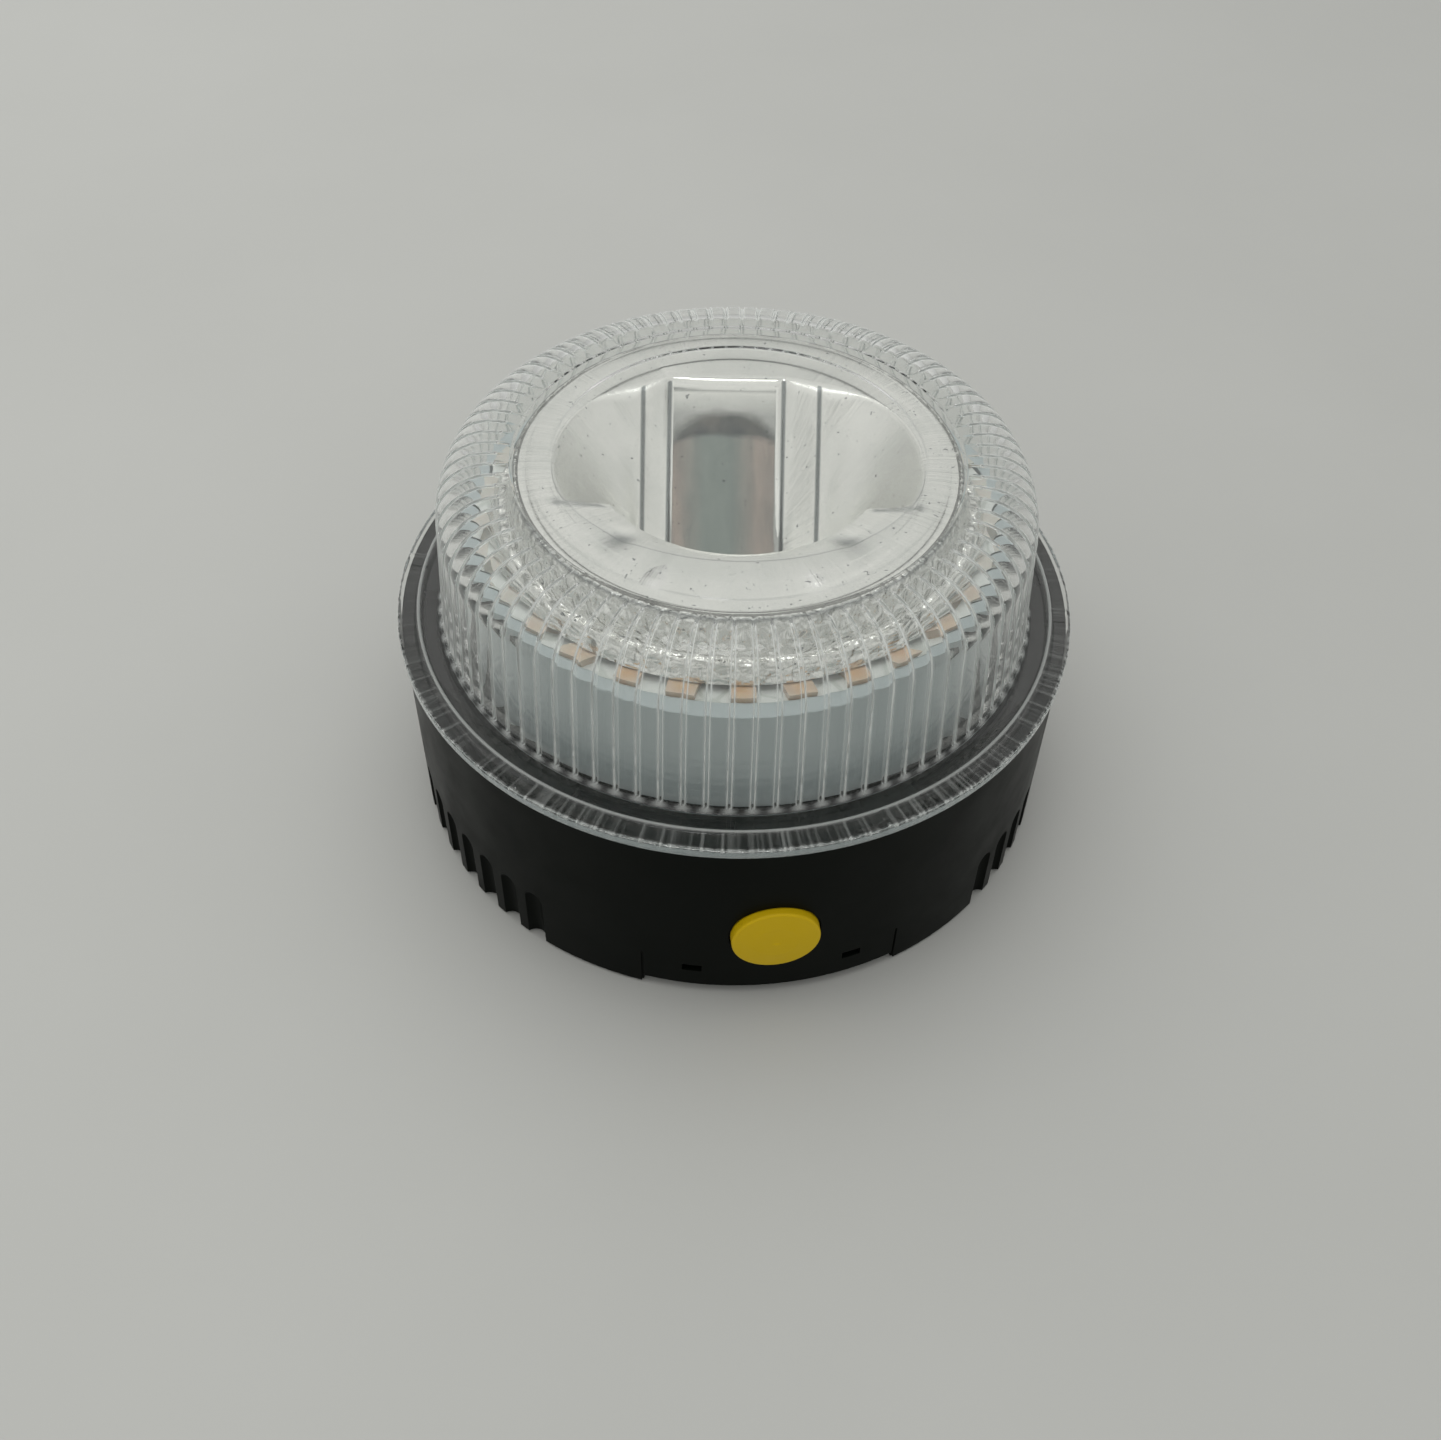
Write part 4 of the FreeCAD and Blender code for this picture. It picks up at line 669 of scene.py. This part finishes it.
def back_columns():
    """The far wall: a flat middle and two flat strips, with a narrow crease along each of their edges."""
    places = [(x, 0.0) for x in np.arange(-12.5, 11.0, 1.5) if min(abs(x - c) for c in CREASES) > 0.5]
    for crease in CREASES:
        places += [(crease - CREASE_HALF, 0.0), (crease - CREASE_FLAT, 1.0)]
        places += [(crease + CREASE_FLAT, 1.0), (crease + CREASE_HALF, 0.0)]
    columns = []
    for x, crease in sorted(places, reverse=True):
        wall, foot = ((x, float(np.interp(x, CREASES, depths))) for depths in (WALL_TOP, WALL_FOOT))
        mouth = (x, far_edge(x))
        power = min(2.5, max(1.0, BACK_SLOPE * (mouth[1] - wall[1]) / BACK_DROP))
        haze = ease(max(x - CREASES[2], CREASES[1] - x) - 0.2)
        columns.append(Column(mouth, wall, BACK_DROP, foot, crease, 0.0, haze, power))
    return columns


def lobe_columns(edge_x, side):
    """The rounded end of the bowl on one side, from the far wall round to the front band."""
    edge_y = far_edge(edge_x)
    start = math.atan2(edge_y, abs(edge_x))
    floor_start = math.acos(abs(edge_x) / FLOOR[0])
    first_inset = edge_y - WALL_TOP[-1 if side > 0 else 0]
    columns = []
    for angle in np.linspace(start, BAND_START[0], 32)[1:]:
        mouth = mouth_at(angle)
        turned = ease((start - angle) / math.radians(20.0))
        inset = first_inset + (1.0 - first_inset) * turned
        inward = Vector((0.0, 1.0)).lerp(mouth.normalized(), turned).normalized()
        wall = mouth - inward * inset
        drop = BACK_DROP + (LOBE_DROP - BACK_DROP) * turned
        floor_angle = floor_start * angle / start if angle > 0 else angle
        floor = Vector((FLOOR[0] * math.cos(floor_angle), FLOOR[1] * math.sin(floor_angle)))
        points = [Vector((side * point.x, point.y)) for point in (mouth, wall, floor)]
        columns.append(Column(points[0], points[1], drop, points[2], 0.0, turned))
    return columns if side > 0 else columns[::-1]


def front_columns():
    """The front band: nearly level from the mouth's edge to a round lip."""
    edge_start = math.asin(-9.0 / BAND_EDGE[0])
    columns = []
    for share in np.linspace(0.0, 1.0, 81):
        turn = abs(2.0 * share - 1.0)
        mouth_angle = FRONT + turn * (BAND_START[1] - FRONT)
        edge_angle = FRONT + turn * (edge_start - FRONT)
        radius = BAND_EDGE[1] + (BAND_EDGE[0] - BAND_EDGE[1]) * turn ** 2
        side = 1.0 if share < 0.5 else -1.0
        mouth = mouth_at(mouth_angle)
        wall = (side * radius * math.cos(edge_angle), radius * math.sin(edge_angle))
        floor = (side * FLOOR[0] * math.cos(mouth_angle), FLOOR[1] * math.sin(mouth_angle))
        columns.append(Column((side * mouth.x, mouth.y), wall, BAND_DROP, floor))
    return columns


def bowl_columns():
    """All columns, from the far wall's right edge clockwise round the bowl."""
    right, left = CREASES[-1] + CREASE_HALF, CREASES[0] - CREASE_HALF
    return lobe_columns(right, 1) + front_columns() + lobe_columns(left, -1) + back_columns()[::-1]


def dimpled(point):
    """Lower or raise a point of the land by the shallow dimples and bumps moulded into it."""
    x, y, z = point
    for centre_x, centre_y, radius, height in DIMPLES:
        z += height * math.exp(-((x - centre_x) ** 2 + (y - centre_y) ** 2) / radius ** 2)
    return (x, y, z)


def hump(offset, width):
    """A bell-shaped bump that is 1 in the middle."""
    return math.exp(-(offset / width) ** 2)


def painted_shade(point):
    """Painted shade and painted dark reflections on the plating: round the dimples, along the outer rim and
    along the front band's two ends.
    """
    x, y, z = point
    dark = 0.0
    for centre_x, centre_y, radius, height in DIMPLES:
        if height < 0:
            dark += 0.8 * hump(math.hypot(x - centre_x, (y - centre_y) * 1.6), radius)
    if z > REFLECTOR_TOP - 1.0:
        from_axis = math.hypot(x, y)
        edge = mouth_at(math.atan2(y, x)).length
        dark += SKIRT_DARK * hump(from_axis - OUTER_RIM, 0.22)
        dark += 0.45 * hump(from_axis - edge + 0.15, 0.12) * ease(-y / 4.0)
        dark += 0.8 * hump(y + 9.5, 0.35) * ease(abs(x) - LIP_SIDES[0]) * ease(LIP_SIDES[1] - abs(x))
    return dark


def skirt_outline():
    """The outer skirt and the flat land as (radius, height), from the skirt's foot up and in."""
    top = REFLECTOR_TOP
    skirt = [(34.8, 48.7), (34.7, 48.95), (33.6, 51.2), (33.4, 51.4), (32.8, 51.45), (32.6, 51.6)]
    skirt += [(32.2, 53.2), (31.8, 54.7), (31.5, 55.4), (31.2, 55.75), (30.8, top - 0.04), (30.4, top)]
    return skirt + [(29.4, top), (28.4, top), (27.6, top), (26.9, top), (26.4, top)]


def build_reflector():
    """The reflector as one sheet of rings from the skirt's foot to the bowl's floor, then given a wall."""
    columns, skirt = bowl_columns(), skirt_outline()
    rings = [[(r * math.cos(c.angle), r * math.sin(c.angle), z) for c in columns] for r, z in skirt]
    rings += [[c.lip(share) for c in columns] for share in LIP_SHARES]
    rings = [[dimpled(point) for point in ring] for ring in rings]
    rings += [[c.down(share) for c in columns] for share in WALL_SHARES]
    count = len(columns)
    last = (len(rings) - 1) * count
    faces = ring_faces(len(rings), count) + [tuple(range(last, last + count))]
    turn = Matrix.Rotation(REFLECTOR_TURN, 3, "Z")
    vertices = [turn @ (Vector(point) * MM) for ring in rings for point in ring]
    reflector = mesh_object("reflector_shell", vertices, [f[::-1] for f in faces], "plated_plastic")
    on_land = len(skirt) + MARKED_LIP
    # Painted shade: the marks above, a little grey on the land and the dark bottoms of the creases.
    marks = [painted_shade(point) + (LAND_GREY if i < on_land else c.crease)
             for i, ring in enumerate(rings) for point, c in zip(ring, columns)]
    paint(reflector, "crease", np.clip(marks, 0.0, 1.0))
    paint(reflector, "crinkle", [float(i < WRINKLED_RINGS) for i in range(len(rings)) for c in columns])
    paint(reflector, "haze", [1.0 if i < len(skirt) else c.haze for i in range(len(rings)) for c in columns])
    thicken(reflector, REFLECTOR_WALL * MM)
    shade_smooth(reflector, 32.0)
    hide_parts("reflector")


def thicken(piece, thickness):
    """Give an open sheet a wall on its back and keep the result as plain mesh."""
    solidify = piece.modifiers.new("wall", "SOLIDIFY")
    solidify.thickness = thickness
    solidify.offset = -1.0
    solidify.use_even_offset = False
    apply_modifiers(piece)


def apply_modifiers(piece):
    bpy.context.view_layer.update()
    evaluated = piece.evaluated_get(bpy.context.evaluated_depsgraph_get())
    mesh = bpy.data.meshes.new_from_object(evaluated)
    piece.modifiers.clear()
    piece.data = mesh


# ---- stage, light and camera ----


FLOOR_HALF, FLOOR_LOW = 3.0, -0.02 * MM
CAMERA_REACH, CAMERA_UP, CAMERA_LEFT = 0.2183, math.radians(43.02), math.radians(8.22)
CAMERA_LOOK, CAMERA_ROLL = (-0.00124, 0.00318, 0.0), math.radians(1.318)


def staged_sheet(name, low, high, height, material):
    """A flat rectangle between two corners that belongs to the stage and not to the object."""
    mesh = bpy.data.meshes.new(name)
    corners = ((low[0], low[1]), (high[0], low[1]), (high[0], high[1]), (low[0], high[1]))
    mesh.from_pydata([(x, y, height) for x, y in corners], [], [(0, 1, 2, 3)])
    mesh.materials.append(material)
    sheet = bpy.data.objects.new(name, mesh)
    bpy.context.scene.collection.objects.link(sheet)
    return sheet


def camera_placement():
    """The camera stands 218 mm from the flange's centre, 43 degrees up and 8 degrees left of the button."""
    aim = Vector((0, 0, FLANGE_BOTTOM * MM))
    level = math.cos(CAMERA_UP)
    towards = Vector((-math.sin(CAMERA_LEFT) * level, -math.cos(CAMERA_LEFT) * level, math.sin(CAMERA_UP)))
    position = aim + CAMERA_REACH * towards
    rotation = (Vector(CAMERA_LOOK) - position).to_track_quat("-Z", "Y").to_matrix().to_4x4()
    return Matrix.Translation(position) @ rotation @ Matrix.Rotation(CAMERA_ROLL, 4, "Z")


def build_camera():
    """A 36 mm lens at the place from which the object is seen."""
    data = bpy.data.cameras.new("camera")
    data.sensor_width = 36.0
    data.lens = 35.975
    data.clip_start = 0.01
    camera = bpy.data.objects.new("camera", data)
    camera.matrix_world = camera_placement()
    bpy.context.scene.collection.objects.link(camera)
    bpy.context.scene.camera = camera
    return camera


def build_card(camera):
    """A board round the camera, which only shows in mirrors and through the dome."""
    card = staged_sheet("card", (-CARD_HALF, CARD_LOW), (CARD_HALF, CARD_TOP), CARD_AHEAD, card_material())
    card.matrix_world = camera.matrix_world.copy()
    card.visible_camera = False
    card.visible_diffuse = False
    card.visible_shadow = False


def area_light(name, place, target, size, power, colour=(1, 1, 1)):
    """A rectangular light at a place, turned towards a target."""
    data = bpy.data.lights.new(name, "AREA")
    data.shape = "RECTANGLE"
    data.size, data.size_y = size
    data.energy = power
    data.color = colour
    light = bpy.data.objects.new(name, data)
    light.location = place
    light.rotation_euler = (Vector(target) - Vector(place)).to_track_quat("-Z", "Y").to_euler()
    bpy.context.scene.collection.objects.link(light)
    return light


def soft_room():
    """A world that is paler overhead than at the horizon, with large soft patches."""
    n = Nodes("soft_room", "worlds", "ShaderNodeOutputWorld")
    direction = n.add("ShaderNodeTexCoord").outputs["Generated"]
    colour = n.ramp(n.split(direction)[2], (0.62, 0.63, 0.615), (1.0, 1.0, 0.98), 0.0, 0.8)
    patches = n.ranged(n.noise(2.2, 1.0, 0.5, direction), 0.86, 1.12, 0.35, 0.65)
    shaded = n.scaled(colour, patches)
    return n.finish(n.add("ShaderNodeBackground", {"Color": shaded, "Strength": 0.76}).outputs[0])


def build_lights():
    """A pale room, a large soft light overhead and a small one for the highlights."""
    bpy.context.scene.world = soft_room()
    overhead = area_light("overhead", (-0.14, 0.26, 0.75), (0, 0.02, 0), (1.3, 1.3), 3.7, (1.0, 1.0, 0.985))
    overhead.visible_glossy = False
    overhead.visible_transmission = False
    area_light("sparkle", (-0.04, 0.06, 0.80), (0, 0, 0), (0.16, 0.16), 0.22)


def set_view():
    """Plain colours, and enough bounces to see through both walls of the dome."""
    scene = bpy.context.scene
    scene.view_settings.view_transform = "Standard"
    scene.view_settings.exposure = 0.0
    scene.cycles.max_bounces = 20
    scene.cycles.transmission_bounces = 16
    scene.cycles.glossy_bounces = 8
    scene.cycles.transparent_max_bounces = 24
    scene.cycles.caustics_reflective = False
    scene.cycles.sample_clamp_indirect = 6.0


finish_cad_nodes()
build_dome()
build_reflector()
staged_sheet("floor", (-FLOOR_HALF, -FLOOR_HALF), (FLOOR_HALF, FLOOR_HALF), FLOOR_LOW, floor_material())
build_card(build_camera())
build_lights()
set_view()
